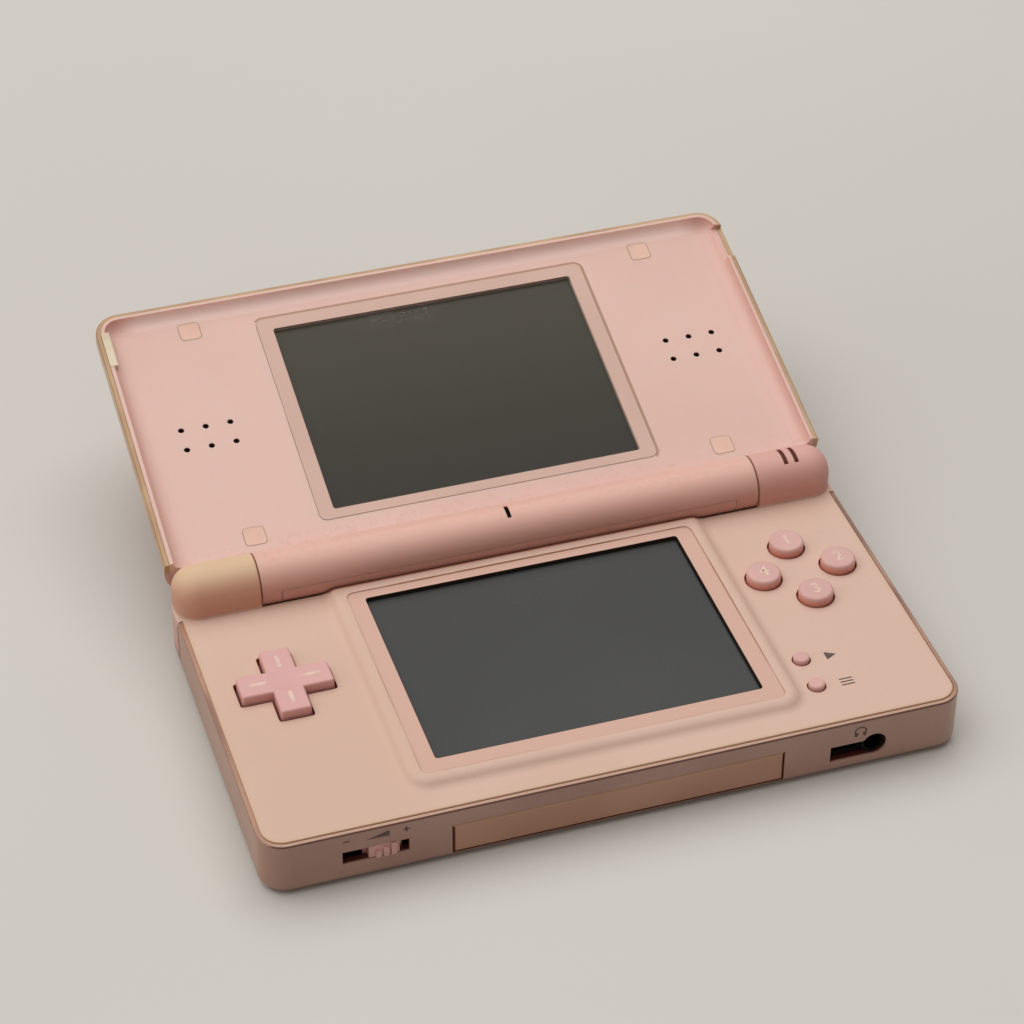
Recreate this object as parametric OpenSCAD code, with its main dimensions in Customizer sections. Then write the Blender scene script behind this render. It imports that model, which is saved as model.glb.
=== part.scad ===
// Clamshell handheld game console, standing open on its base.
// Origin: centre of the underside. X to the right, Y to the hinge, Z up.
// The lid is drawn flat around the hinge axis and then laid back to its open angle.

/* [Case] */
// Width of the control area at each side of the screens
side_w = 35.2; // [33:0.1:42]
// Depth of the case, front to back
case_d = 73.9; // [73:0.1:84]
// Height of the console when it is closed
closed_h = 21.5; // [21.3:0.1:24]
// Height of the control deck above the underside
deck_h = 12; // [12:0.1:14]
// Radius of the case's upright corners
corner_r = 5; // [4.8:0.1:7]
// Rounding of the case's lower edge
edge_r = 2.2; // [1.2:0.1:2.6]
// Thickness of the side walls
wall = 1.6; // [1.5:0.05:1.9]
// Thickness of the floor
floor_t = 1.1; // [1:0.05:1.2]
// Thickness of the deck plate
deck_t = 1.4; // [1.3:0.05:1.5]
// Width of the clear band that runs round the deck
band_w = 0.8; // [0.6:0.05:1]
// How far the band lies below the deck
band_drop = 0.25; // [0.1:0.05:0.4]
// Width of the groove between band and deck
groove_w = 0.2; // [0.15:0.05:0.5]
// Depth of that groove
groove_t = 0.45; // [0.3:0.05:0.7]
// Clearance between parts that are fitted together
fit_gap = 0.1; // [0.06:0.01:0.12]

/* [Hinge] */
// Radius of the hinge barrel and knuckles
hinge_r = 5.2; // [5:0.1:5.4]
// Height of the hinge axis above the deck
axis_rise = 2.8; // [2.7:0.05:3]
// Angle to which the lid opens
open_angle = 165; // [150:1:168]
// Width of the two light slots over the right knuckle
light_w = 0.9; // [0.6:0.05:1.2]
// Distance from the case's right side to the outer light slot's middle
light_in = 7.5; // [6:0.1:9]
// Distance between the light slots
light_pitch = 2.2; // [1.6:0.1:3]
// Place of the light slots' lower ends around the axis, from the front upwards
light_from = 62; // [50:1:70]
// Angle each light slot runs around the axis
light_arc = 58; // [40:1:62]
// Length of each knuckle
knuckle_len = 16.1; // [15:0.1:18]
// Rounding of the knuckles' outer ends
knuckle_end_r = 4.4; // [3:0.1:4.8]
// Gap between the barrel and each knuckle
knuckle_gap = 0.2; // [0.15:0.05:0.4]
// Gap between the barrel and the trough it turns in
trough_gap = 0.4; // [0.3:0.05:0.6]
// Radius of the clutch shaft
shaft_r = 1.8; // [1.5:0.1:2]
// Radial clearance of the parts that turn on the hinge axis
turn_gap = 0.05; // [0.02:0.01:0.09]
// Wall of the hollow barrel and knuckles
hinge_wall = 1.2; // [1:0.1:1.4]

/* [Lid] */
// Gap between the closed lid's rim and the deck
lid_gap = 0.2; // [0.15:0.05:0.4]
// Depth of the lid's face below its rim
face_depth = 2.2; // [2.1:0.1:2.3]
// Width of the rim's flat top
rim_land = 0.75; // [0.6:0.05:0.9]
// Width of the cove between rim and face
cove_run = 3; // [2:0.1:3.1]
// Thickness of the lid's outer cover
skin_t = 0.95; // [0.8:0.05:1.1]
// Thickness of the lid's inner plate
plate_t = 1.2; // [1.1:0.05:1.4]
// How far the rounding of the lid's sides reaches in
lid_edge_run = 4.3; // [2:0.1:4.4]
// How far the rounding of the lid's sides reaches up from its back
lid_edge_rise = 7; // [3:0.1:7.4]
// Rounding of the lid's near edge
lid_near_r = 2.4; // [1.5:0.1:3]
// Rounding of the lid's clear edge beside the rim
lid_lip_r = 0.5; // [0.2:0.05:0.6]
// Length of the bumper set in the lid's rim
bumper_len = 8.8; // [6:0.1:14]
// Distance from the bumper's middle to the lid's far edge
bumper_in = 9; // [8.8:0.1:14]

/* [Screens] */
// Visible width of both screens
screen_w = 62.6; // [58:0.1:63]
// Visible height of both screens
screen_h = 46.6; // [42:0.1:46.8]
// Height of a display module
module_t = 2.4; // [2:0.1:2.5]
// Depth of the touch panel
touch_t = 1.1; // [0.8:0.05:1.2]
// Thickness of the bezel over the touch panel
bezel_t = 0.85; // [0.7:0.05:1]
// Width of the lower bezel around the screen, at the sides
bezel_side = 3.4; // [2.5:0.1:3.6]
// How far the plateau around the lower screen stands above the deck
plateau_h = 1.3; // [1.1:0.05:1.35]
// Run of the plateau's slope
slope_w = 3.4; // [2:0.1:3.5]
// Depth of the recess around the lower screen
recess_h = 0.25; // [0.1:0.05:0.35]
// Distance from the case's front to the lower screen
lower_screen_in = 12.5; // [12:0.1:13]
// Distance from the hinge axis to the upper screen's middle
upper_screen_v = 36.25; // [35:0.1:38]
// Width of the upper window
window_w = 68.9; // [67:0.1:71]
// Height of the upper window
window_h = 51.9; // [51:0.1:53]
// Film of glue under the upper window
glue_t = 0.04; // [0.02:0.01:0.08]
// Thickness of the upper window
window_t = 0.8; // [0.6:0.05:0.9]

/* [Controls] */
// Radius of a face button
face_button_r = 3.35; // [2.8:0.05:3.5]
// Distance from the middle of the four face buttons to each of them
face_button_pitch = 7.64; // [7.3:0.05:8]
// Distance from the case's right side to the middle of the face buttons
face_button_in = 15.65; // [15:0.1:16.5]
// Distance from the hinge axis to the middle of the face buttons
face_button_back = 25.85; // [25:0.1:27]
// How far the buttons stand above the deck
button_rise = 1.9; // [1.4:0.05:2]
// Travel of the face buttons
button_travel = 0.8; // [0.6:0.05:0.85]
// Radial gap between a button and its hole
button_gap = 0.35; // [0.2:0.05:0.4]
// Span of the direction pad
pad_span = 17.4; // [15:0.1:18]
// Width of the direction pad's arms
pad_arm = 5.75; // [5:0.05:6.5]
// Distance from the case's left side to the middle of the direction pad
pad_in = 14.75; // [13.5:0.1:15.5]
// Distance from the hinge axis to the middle of the direction pad
pad_back = 28.15; // [27:0.1:30]
// Gap around the direction pad
pad_gap = 0.5; // [0.4:0.05:0.6]
// Radius of the two menu buttons
menu_button_r = 1.55; // [1.3:0.05:1.8]
// Distance from the case's right side to the menu buttons
menu_button_in = 25.15; // [24.5:0.1:26]
// Distance from the case's front to the nearer menu button
menu_button_front = 11.15; // [10:0.1:12]
// Distance between the two menu buttons
menu_button_pitch = 7.65; // [7:0.05:9]
// How far the menu buttons stand above the deck
menu_button_rise = 0.9; // [0.5:0.05:1.2]
// Travel of the menu buttons
menu_travel = 0.5; // [0.3:0.05:0.6]
// Height of the shoulder buttons' lower edge
shoulder_z = 3; // [2.4:0.1:4]
// Length of a shoulder button along the back
shoulder_len = 20; // [18:0.1:21]
// Length of a shoulder button along the side
shoulder_side = 8.75; // [8:0.05:9]
// Thickness of a shoulder button
shoulder_t = 1.9; // [1.6:0.1:2.2]
// Gap that lets the shoulder buttons turn
shoulder_gap = 0.8; // [0.75:0.05:0.9]

/* [Front and sides] */
// Width of the dust cover in the front
cover_w = 62.7; // [56:0.1:64]
// Height of the dust cover
cover_h = 6.6; // [5.5:0.1:6.6]
// Height of the dust cover's lower edge
cover_z = 1.5; // [1.4:0.05:1.6]
// Distance from the case's middle to the dust cover's, to the left
cover_off = 0.5; // [0:0.1:1]
// Depth of the bay behind the dust cover
bay_d = 18.5; // [16:0.5:18.5]
// Width of the volume slot
volume_w = 12.25; // [11:0.05:13]
// Height of the volume slot
volume_h = 2.8; // [2:0.1:3]
// Height of the volume slot's middle
volume_z = 6.05; // [5:0.05:6.2]
// Distance from the case's left side to the volume slot's middle
volume_in = 20.46; // [18:0.02:21]
// Width of the volume thumb piece
thumb_w = 5.6; // [4:0.1:7]
// Radius of the headphone bore
plug_r = 1.8; // [1.75:0.01:1.9]
// Length of the headphone socket's nose, which stands in the mouth
plug_nose_l = 1; // [0.6:0.1:1.2]
// Width of the flat slot beside the headphone bore
plug_slot_w = 8.6; // [6:0.1:9]
// Height of that slot
plug_slot_h = 3.5; // [2.6:0.1:3.6]
// Depth of the headphone bore
plug_d = 14; // [10:0.5:16]
// Distance from the case's right side to the headphone bore
plug_in = 17.9; // [17:0.1:19]
// Height of the headphone bore
plug_z = 5.45; // [5:0.05:5.8]
// Width of the game card slot
card_w = 33.8; // [33.4:0.1:34.2]
// Height of the game card slot
card_h = 4.1; // [4.05:0.01:4.2]
// Depth of the game card slot
card_d = 35; // [33:0.5:35.5]
// Radius of the stylus
stylus_r = 2.05; // [1.7:0.05:2.1]
// Length of the stylus
stylus_len = 87.5; // [80:0.5:90]
// Distance from the hinge axis forward to the stylus
stylus_back = 7.15; // [7.1:0.01:7.2]
// Length of the power slot
power_len = 10; // [8:0.5:12]
// Travel of the power slide
power_travel = 4; // [3:0.1:5]
// Distance from the case's front to the power slot's middle
power_in = 19; // [17:0.1:24]

/* [Battery] */
// Width of the battery
battery_w = 38; // [34:0.5:39]
// Depth of the battery
battery_d = 35; // [30:0.5:35]
// Thickness of the battery
battery_t = 5.2; // [4:0.1:5.3]

/* [Inside] */
// Thickness of the main board
board_t = 0.8; // [0.6:0.1:1]
// Width of the radio module
radio_w = 16; // [12:0.5:18]
// Depth of the radio module
radio_d = 12; // [9:0.5:13]
// Radius of the speakers
speaker_r = 8; // [6:0.1:8.5]
// Height of the speakers
speaker_t = 2.8; // [2:0.1:3]
// Width of the ribbon cable to the upper display
cable_w = 8; // [5:0.5:12]
// Thickness of the ribbon cable
cable_t = 0.2; // [0.1:0.05:0.3]
// Length of the cable's roll in the hinge
cable_roll = 26; // [22:0.5:30]
// Width of the headphone socket's body
socket_w = 11.6; // [11:0.1:12]
// Height of the face buttons' and pad's flanges
flange_t = 0.8; // [0.6:0.05:0.9]
// Radius of the ball under the direction pad
nub_r = 1.2; // [1:0.05:1.25]
// Radius of the shoulder buttons' pins
pin_r = 0.7; // [0.6:0.05:0.8]
// Radius of the screws' shanks
screw_r = 0.8; // [0.7:0.05:0.9]
// Radius of the screws' heads
screw_head_r = 1.7; // [1.5:0.05:1.8]
// Radius of the screw bosses
boss_r = 2.2; // [2:0.05:2.3]
// Side of the square caps over the lid's screws
cap_size = 4.1; // [3.8:0.1:4.6]
// Distance between the speaker holes
hole_pitch = 4.95; // [4:0.05:5.2]
// Seam around the hatch in the barrel
hatch_gap = 0.1; // [0.05:0.01:0.15]
// Radius of the speaker holes
hole_r = 0.62; // [0.4:0.02:0.8]

/* [Hidden] */
$fn = 48;
eps = 0.01;

// Case levels and outlines
case_w = screen_w + 2 * side_w;
half_w = case_w / 2;
front_y = -case_d / 2;
back_y = case_d / 2;
shoulder_h = deck_h - deck_t;
band_h = deck_h - band_drop;
deck_inset = band_w + groove_w;

// Hinge
hinge_y = back_y - hinge_r;
hinge_z = deck_h + axis_rise;
knuckle_x = half_w - fit_gap * 2 - knuckle_len;
barrel_half = knuckle_x - knuckle_gap;
trough_r = hinge_r + trough_gap;
knuckle_bore_r = hinge_r - hinge_wall;
ring_end_y = hinge_y - hinge_r + 0.75;

// Lid levels in its own flat frame: Y away from the axis, Z to the lid's inner side
rim_z = axis_rise - lid_gap;
face_z = rim_z - face_depth;
bumper_z = rim_z - 1.3;
lid_back = hinge_z - closed_h;
lid_near = hinge_r + 0.3;
lid_far = hinge_y + case_d / 2;
lid_l = lid_far - lid_near;
lid_mid = (lid_far + lid_near) / 2;
split_z = -3.3;
inner_w = case_w - 2 * skin_t - fit_gap;
inner_far = lid_far - skin_t - fit_gap / 2;
inner_r = corner_r - skin_t - fit_gap / 2;

// Screens
plateau_z = deck_h + plateau_h;
recess_z = plateau_z - recess_h;
lower_screen_y = front_y + lower_screen_in + screen_h / 2;
bezel_w = screen_w + 2 * bezel_side;
bezel_d = screen_h + 2 * 2.8;
bezel_y = lower_screen_y - 0.65;
touch_top = recess_z - bezel_t;
touch_under = touch_top - touch_t;
display_under = touch_under - module_t;
module_w = screen_w + 6.2;
module_back = lower_screen_y + screen_h / 2 + 0.15;
module_front = lower_screen_y - screen_h / 2 - 3.4;
upper_y = upper_screen_v;
window_y = upper_screen_v - 0.1;
window_z = face_z + 0.1;
module_near = upper_y - screen_h / 2 - 2.2;
cable_x = -knuckle_x + 12;

// Board and the parts that stand on it
board_z = display_under - 0.95 - board_t;
board_top = board_z + board_t;
flange_top = shoulder_h - fit_gap;
flange_under = flange_top - flange_t;

// Controls
face_x = half_w - face_button_in;
face_y = hinge_y - face_button_back;
pad_x = -half_w + pad_in;
pad_y = hinge_y - pad_back;
pad_pivot_z = flange_under - 1.1;
pad_flange_r = pad_span / 2 + 1.2;
menu_x = half_w - menu_button_in;
menu_y = front_y + menu_button_front;
shoulder_top = shoulder_h - 0.15;
shoulder_front = back_y - shoulder_side;
pivot_x = half_w - shoulder_len + 1.4;
pivot_y = back_y - 3.4;

// Front, back and side openings
bay_w = cover_w + 0.36;
bay_z = cover_z - 0.12;
bay_top = cover_z + cover_h + 0.12;
volume_x = -half_w + volume_in;
thumb_x = volume_x + 1.5;
plug_x = half_w - plug_in;
mouth_r = plug_r + 0.6;
card_top = floor_t + card_h;
stylus_y = hinge_y - stylus_back;
stylus_z = shoulder_h - 2.4;
stylus_bore_r = stylus_r + fit_gap;
stylus_end = half_w - stylus_len;
power_y = front_y + power_in;
power_z = 6.2;
charge_x = half_w - shoulder_len - 8;
strap_x = -half_w + shoulder_len + 7;

// Battery and its cover
battery_x = -card_w / 2 - 2.6 - battery_w / 2;
battery_y = front_y + bay_d + 1.2 + battery_d / 2;
connector_w = 2 * (-cover_off - battery_x - battery_w / 2 - 1.5);
battery_lid_w = battery_w + 3.2;
battery_lid_d = battery_d + 1.6;
battery_screw_y = battery_y - battery_lid_d / 2 - 1.9;

// Fasteners: screws through the floor, and screws of the lid
case_screw_at = [
    [-half_w + 5.6, front_y + 5.6], [half_w - 5.6, front_y + 5.6],
    [-cover_off - bay_w / 2 - boss_r - 2.5, front_y + 9.2], [half_w - 20, front_y + 25.45],
    [-half_w + 4.9, hinge_y - 13], [half_w - 4.9, hinge_y - 13]
];
lid_screw_x = half_w - 18.7;
lid_screw_y = [lid_near + 4.25, lid_far - 6.35];
speaker_x = half_w - 16.05;
speaker_y = upper_screen_v - 0.65;

// Plan outlines and blocks with round edges ---------------------------------

// A rectangle with round corners, centred
module rounded_rect(w, d, r) {
    square([w - 2 * r, d], center = true);
    square([w, d - 2 * r], center = true);
    for (x = [-1, 1], y = [-1, 1])
        translate([x * (w / 2 - r), y * (d / 2 - r)]) circle(r);
}

// Half cross-section of a rounded block's side: upright, with round lower and upper edges.
// With a tall value the lower edge is an ellipse that reaches that far up.
module edge_profile(r, h, lower, upper, tall = 0) {
    rise = tall > 0 ? tall : lower;
    translate([0, rise]) square([r, h - rise - upper]);
    if (lower > 0) {
        square([r - lower, rise + eps]);
        intersection() {
            translate([r - lower, rise]) scale([1, rise / lower]) circle(lower);
            translate([r - lower - eps, 0]) square([lower + eps, rise + eps]);
        }
    }
    if (upper > 0) {
        translate([0, h - upper - eps]) square([r - upper, upper + eps]);
        intersection() {
            translate([r - upper, h - upper]) circle(upper);
            translate([r - upper - eps, h - upper]) square(upper + eps);
        }
    }
}

// Carries a side's cross-section round a rectangle with round corners
module swept_round(w, d, r) {
    for (side = [0:3]) {
        along = side % 2 == 0 ? w : d;
        across = side % 2 == 0 ? d : w;
        rotate(90 * side) {
            translate([-along / 2 + r, across / 2 - r, 0])
                rotate([90, 0, 90]) linear_extrude(along - 2 * r) children();
            translate([along / 2 - r, across / 2 - r, 0])
                rotate_extrude(angle = 90) children();
        }
    }
}

// A block with round corners in plan and round lower and upper edges
module soft_block(w, d, h, r, lower, upper, tall = 0) {
    swept_round(w, d, r) edge_profile(r, h, lower, upper, tall);
    translate([-w / 2 + r, -d / 2 + r, 0]) cube([w - 2 * r, d - 2 * r, h]);
}

// A plain block with round corners in plan
module slab(w, d, h, r) {
    linear_extrude(h) rounded_rect(w, d, r);
}

// Lays a part that is drawn in the lid's flat frame back to its open place
module laid_open() {
    translate([0, hinge_y, hinge_z]) rotate([180 - open_angle, 0, 0]) children();
}

// A cylinder along X that starts at x
module rod_x(x, len, r) {
    translate([x, 0, 0]) rotate([0, 90, 0]) cylinder(h = len, r = r);
}

// Case -----------------------------------------------------------------------

// The opening and the ear of the battery compartment, grown by gap
module battery_opening(gap, h) {
    translate([battery_x, battery_y, 0]) slab(battery_lid_w + 2 * gap, battery_lid_d + 2 * gap, h, 1.5);
    translate([battery_x, battery_screw_y, 0]) cylinder(h = h, r = 3 + gap);
    translate([battery_x - 3 - gap, battery_screw_y, 0]) cube([6 + 2 * gap, 3, h]);
}

// The room that a shoulder button turns in
module shoulder_room(side) {
    room_x = half_w - shoulder_len - 0.25;
    translate([side > 0 ? room_x : -half_w - 1, back_y - 6.6, shoulder_z - 0.15])
        cube([shoulder_len + 1.25, 7, shoulder_h]);
    translate([side > 0 ? half_w - 5 : -half_w - 1, shoulder_front - shoulder_gap, shoulder_z - 0.15])
        cube([6, shoulder_side + shoulder_gap + 1, shoulder_h]);
}

module lower_case() {
    color("#c99d92")
    difference() {
        union() {
            difference() {
                soft_block(case_w, case_d, band_h, corner_r, edge_r, 0.35);
                translate([0, 0, floor_t])
                    soft_block(case_w - 2 * wall, case_d - 2 * wall, deck_h, corner_r - wall, 1, 0);
                translate([0, 0, shoulder_h])
                    slab(case_w - 2 * band_w, case_d - 2 * band_w, deck_h, corner_r - band_w);
                translate([-half_w, ring_end_y, shoulder_h]) cube([case_w, case_d, deck_h]);
            }
            bay_walls();
            rear_beam();
            stylus_channel();
            for (p = case_screw_at) translate([p[0], p[1], floor_t - eps])
                cylinder(h = 3.4, r = boss_r + 0.5);
            translate([battery_x, battery_screw_y, floor_t - eps]) cylinder(h = 3.2, r = boss_r);
            battery_walls();
        }
        // dust cover bay
        translate([-cover_off - bay_w / 2, front_y - 1, bay_z]) cube([bay_w, bay_d + 1, bay_top - bay_z]);
        // volume slot
        translate([volume_x - volume_w / 2, front_y - 1, volume_z - volume_h / 2])
            cube([volume_w, wall + 2, volume_h]);
        // headphone mouth and the flat slot that runs out of it
        translate([plug_x, front_y + wall + 0.5, plug_z]) rotate([90, 0, 0])
            cylinder(h = wall + 2, r = mouth_r);
        translate([plug_x - plug_slot_w, front_y - 1, plug_z - mouth_r + 0.1])
            cube([plug_slot_w, wall + 1.5, plug_slot_h]);
        // game card mouth
        translate([-card_w / 2, back_y - card_d, floor_t]) cube([card_w, card_d + 1, card_h]);
        // charge mouth
        translate([charge_x - 4.6, back_y - 7.2, 2.9]) cube([9.2, 8, 3.4]);
        // strap eyes, joined behind the bar between them
        for (x = [-1.9, 1.9]) translate([strap_x + x - 1.1, back_y - 4, 3.2]) cube([2.2, 5, 2.2]);
        translate([strap_x - 3, back_y - 4.4, 3.2]) cube([6, 2.4, 2.2]);
        // stylus mouth and power slot
        translate([0, stylus_y, stylus_z]) rod_x(stylus_end - 0.4, stylus_len + 2, stylus_bore_r);
        translate([half_w - wall - 1, power_y - power_len / 2, power_z - 1.2])
            cube([wall + 2, power_len, 2.4]);
        for (side = [-1, 1]) shoulder_room(side);
        // barrel trough
        translate([0, hinge_y, hinge_z]) rod_x(-knuckle_x, 2 * knuckle_x, trough_r);
        // battery compartment, stepped for its cover
        battery_opening(fit_gap, 0.65);
        translate([battery_x, battery_y, -1]) slab(battery_w + 0.8, battery_d + 0.4, floor_t + 2, 1);
        translate([battery_x, battery_screw_y, -1]) cylinder(h = 6, r = screw_r);
        // counterbores and clearance holes of the case screws
        for (p = case_screw_at) translate([p[0], p[1], -1]) {
            cylinder(h = 3.6, r = screw_head_r + 0.2);
            cylinder(h = 8, r = screw_r + 0.15);
        }
    }
    shoulder_posts();
}

// Walls and roof of the bay behind the dust cover
module bay_walls() {
    translate([-cover_off - bay_w / 2 - 1, front_y + wall / 2, floor_t - eps])
        cube([bay_w + 2, bay_d - wall / 2 + 0.8, bay_top - floor_t + 0.38]);
}

// The solid beam under the hinge barrel, over the card mouth
module rear_beam() {
    beam_x = half_w - shoulder_len - 0.6;
    translate([-beam_x, back_y - 6.4, floor_t - eps])
        cube([2 * beam_x, 6.4 - wall / 2, shoulder_h - floor_t]);
    translate([-beam_x, hinge_y - hinge_r + 0.9, card_top + 0.25])
        cube([2 * beam_x, 6, shoulder_h - card_top - 0.25]);
}

// An open channel for the stylus, roofed by the deck
module stylus_channel() {
    under_z = stylus_z - stylus_bore_r - 0.4;
    difference() {
        translate([stylus_end - 1.6, stylus_y - stylus_bore_r - 0.1, under_z])
            cube([stylus_len + 1.6 - wall / 2, 2 * stylus_bore_r + 0.5, shoulder_h - under_z]);
        translate([stylus_end - 0.4, stylus_y - stylus_bore_r, stylus_z])
            cube([stylus_len - wall - 1, 2 * stylus_bore_r, 4]);
    }
}

// Low walls that hold the battery in place
module battery_walls() {
    difference() {
        translate([battery_x, battery_y, floor_t - eps]) slab(battery_w + 2.4, battery_d + 1.6, 3.2, 1);
        translate([battery_x, battery_y, 0]) slab(battery_w + 0.4, battery_d + 0.4, 8, 0.6);
    }
}

// Posts that hold the shoulder buttons' pins
module shoulder_posts() {
    color("#c99d92")
    for (side = [-1, 1]) translate([side * pivot_x, pivot_y, floor_t - eps]) difference() {
        cylinder(h = shoulder_z - floor_t - 0.1, r = 1.6);
        translate([0, 0, 0.5]) cylinder(h = 4, r = pin_r);
    }
}

// The plan outline of the direction pad, grown by gap
module pad_outline(gap) {
    for (turn = [0, 90]) rotate(turn) rounded_rect(pad_span + 2 * gap, pad_arm + 2 * gap, 0.6);
}

// Cross-section of the plateau: a soft S-shaped slope from the deck to its flat top
module slope_profile(r) {
    swing = 2 * atan(plateau_h / slope_w);
    bend = (slope_w * slope_w + plateau_h * plateau_h) / (4 * plateau_h);
    polygon(concat(
        [[0, -deck_t / 2], [r, -deck_t / 2]],
        [for (i = [0:5]) [r - bend * sin(swing * i / 5) , bend * (1 - cos(swing * i / 5))]],
        [for (i = [4:-1:0])
            [r - slope_w + bend * sin(swing * i / 5), plateau_h - bend * (1 - cos(swing * i / 5))]],
        [[0, plateau_h]]
    ));
}

// A knuckle: a round-ended cylinder on a straight-sided foot
module knuckle(side) {
    mirror([side < 0 ? 1 : 0, 0, 0]) {
        translate([knuckle_x, hinge_y, hinge_z]) rotate([0, 90, 0])
            rotate_extrude() edge_profile(hinge_r, knuckle_len, 0, knuckle_end_r);
        translate([knuckle_x, hinge_y, shoulder_h])
            linear_extrude(hinge_z - shoulder_h) knuckle_plan();
    }
}

module knuckle_plan() {
    for (m = [0, 1]) mirror([0, m]) translate([0, -eps])
        rotate(-90) mirror([1, 0]) edge_profile(hinge_r, knuckle_len, 0, knuckle_end_r);
}

module upper_case() {
    color("#e6c0ab")
    difference() {
        union() {
            translate([0, 0, shoulder_h]) {
                deck_edge_r = corner_r - deck_inset;
                slab(case_w - 2 * band_w - fit_gap, case_d - 2 * band_w - fit_gap,
                    deck_t - groove_t, corner_r - band_w);
                soft_block(case_w - 2 * deck_inset, case_d - 2 * deck_inset, deck_t, deck_edge_r, 0, 0.2);
                intersection() {
                    soft_block(case_w, case_d, deck_t, corner_r, 0, 0.5);
                    translate([-half_w, ring_end_y + 0.05, 0]) cube([case_w, case_d, deck_t]);
                }
            }
            plateau();
            for (side = [-1, 1]) knuckle(side);
            for (p = case_screw_at) translate([p[0], p[1], floor_t + 3.5])
                cylinder(h = shoulder_h - floor_t - 3.5 + eps, r = boss_r);
        }
        // room for the touch panel and display, and the screen opening
        translate([0, (module_back + module_front) / 2, 0])
            slab(module_w + 0.3, module_back - module_front + 0.2, touch_top, 0.8);
        translate([0, lower_screen_y, 0]) slab(screen_w, screen_h, closed_h, 0.6);
        translate([0, bezel_y, recess_z]) slab(bezel_w, bezel_d, closed_h, 1.6);
        // barrel trough, and the rear lip left to the lower case
        translate([0, hinge_y, hinge_z]) rod_x(-knuckle_x, 2 * knuckle_x, trough_r);
        translate([-knuckle_x, hinge_y, shoulder_h - 1]) cube([2 * knuckle_x, case_d, 20]);
        // buttons
        translate([pad_x, pad_y, 0]) linear_extrude(closed_h) pad_outline(pad_gap);
        for (turn = [0:90:270]) translate([face_x, face_y, 0]) rotate(turn)
            translate([face_button_pitch, 0, 0]) cylinder(h = closed_h, r = face_button_r + button_gap);
        for (i = [0, 1]) translate([menu_x, menu_y + i * menu_button_pitch, 0])
            cylinder(h = closed_h, r = menu_button_r + 0.25);
        // bores of the clutch and the bush, and the cable's way down
        for (side = [-1, 1]) translate([0, hinge_y, hinge_z])
            rod_x(side > 0 ? knuckle_x - 1 : -knuckle_x - knuckle_len + 3.6,
                knuckle_len - 2.6, knuckle_bore_r);
        translate([-half_w + 5.4, hinge_y - 1.6, shoulder_h - 1]) cube([4, 3.2, axis_rise + deck_t]);
        // flats under the knuckles, which clear the shoulder buttons as they turn
        for (side = [-1, 1]) mirror([side < 0 ? 1 : 0, 0, 0]) {
            translate([knuckle_x, hinge_y + 1.5, shoulder_h - 2]) cube([knuckle_len + 1, hinge_r, 2]);
            translate([half_w - 3.7, hinge_y - hinge_r, shoulder_h - 2]) cube([4, 2 * hinge_r, 2]);
        }
        // light slots
        light_slots(knuckle_bore_r - 0.3, hinge_r + 1, 0);
        // pilot holes of the case screws
        for (p = case_screw_at) translate([p[0], p[1], 0]) cylinder(h = shoulder_h, r = screw_r);
    }
}

module plateau() {
    plateau_w = bezel_w + 1.8 + 2 * slope_w;
    plateau_front = bezel_y - bezel_d / 2 - 0.6 - slope_w;
    plateau_d = hinge_y - plateau_front + 10;
    r = 5.6;
    intersection() {
        translate([0, plateau_front + plateau_d / 2, deck_h]) {
            swept_round(plateau_w, plateau_d, r) slope_profile(r);
            translate([-plateau_w / 2 + r, -plateau_d / 2 + r, -deck_t / 2])
                cube([plateau_w - 2 * r, plateau_d - 2 * r, deck_t / 2 + plateau_h]);
        }
        translate([-half_w, front_y, 0]) cube([case_w, hinge_y - front_y, closed_h]);
    }
}

// The two curved slots over the right knuckle, between two radii
module light_slots(inner, outer, gap) {
    for (i = [0, 1]) translate([half_w - light_in - i * light_pitch, hinge_y, hinge_z])
        rotate([0, 90, 0]) rotate(270 - light_from - light_arc) rotate_extrude(angle = light_arc)
            translate([inner, -light_w / 2 + gap]) square([outer - inner, light_w - 2 * gap]);
}

// Base pieces ----------------------------------------------------------------

module battery_cover() {
    color("#caa196")
    difference() {
        union() {
            battery_opening(0, 0.6);
            translate([battery_x, battery_y, 0.6 - eps])
                slab(battery_w + 0.5, battery_d + 0.2, floor_t - 0.6, 1);
        }
        translate([battery_x, battery_screw_y, -1]) cylinder(h = 4, r = screw_r + 0.15);
        translate([battery_x, battery_screw_y, -eps])
            cylinder(h = 0.35, r1 = screw_head_r, r2 = screw_head_r - 0.3, $fn = 36);
        for (i = [-2:2]) translate([battery_x + battery_lid_w / 2 - 6, battery_y + i * 2.2 - 0.4, -eps])
            cube([4, 0.8, 0.25]);
    }
}

// A screw with its head down: a domed head with a cross slot, and a plain shank
module screw(head_r, head_t, shank_r, shank_l) {
    difference() {
        union() {
            cylinder(h = head_t, r = head_r);
            cylinder(h = head_t + shank_l, r = shank_r);
        }
        for (turn = [0, 90]) rotate(turn) translate([-head_r * 0.6, -0.2, -eps])
            cube([head_r * 1.2, 0.4, head_t * 0.5]);
    }
}

module battery_cover_screw() {
    color("silver")
    translate([battery_x, battery_screw_y, 0.05]) screw(screw_head_r - 0.4, 0.3 - eps, screw_r - 0.05, 3.2);
}

module battery() {
    color("#4a4d55")
    translate([battery_x, battery_y, floor_t + 0.1])
        soft_block(battery_w, battery_d, battery_t, 1.2, 0.6, 0.6);
}

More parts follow.
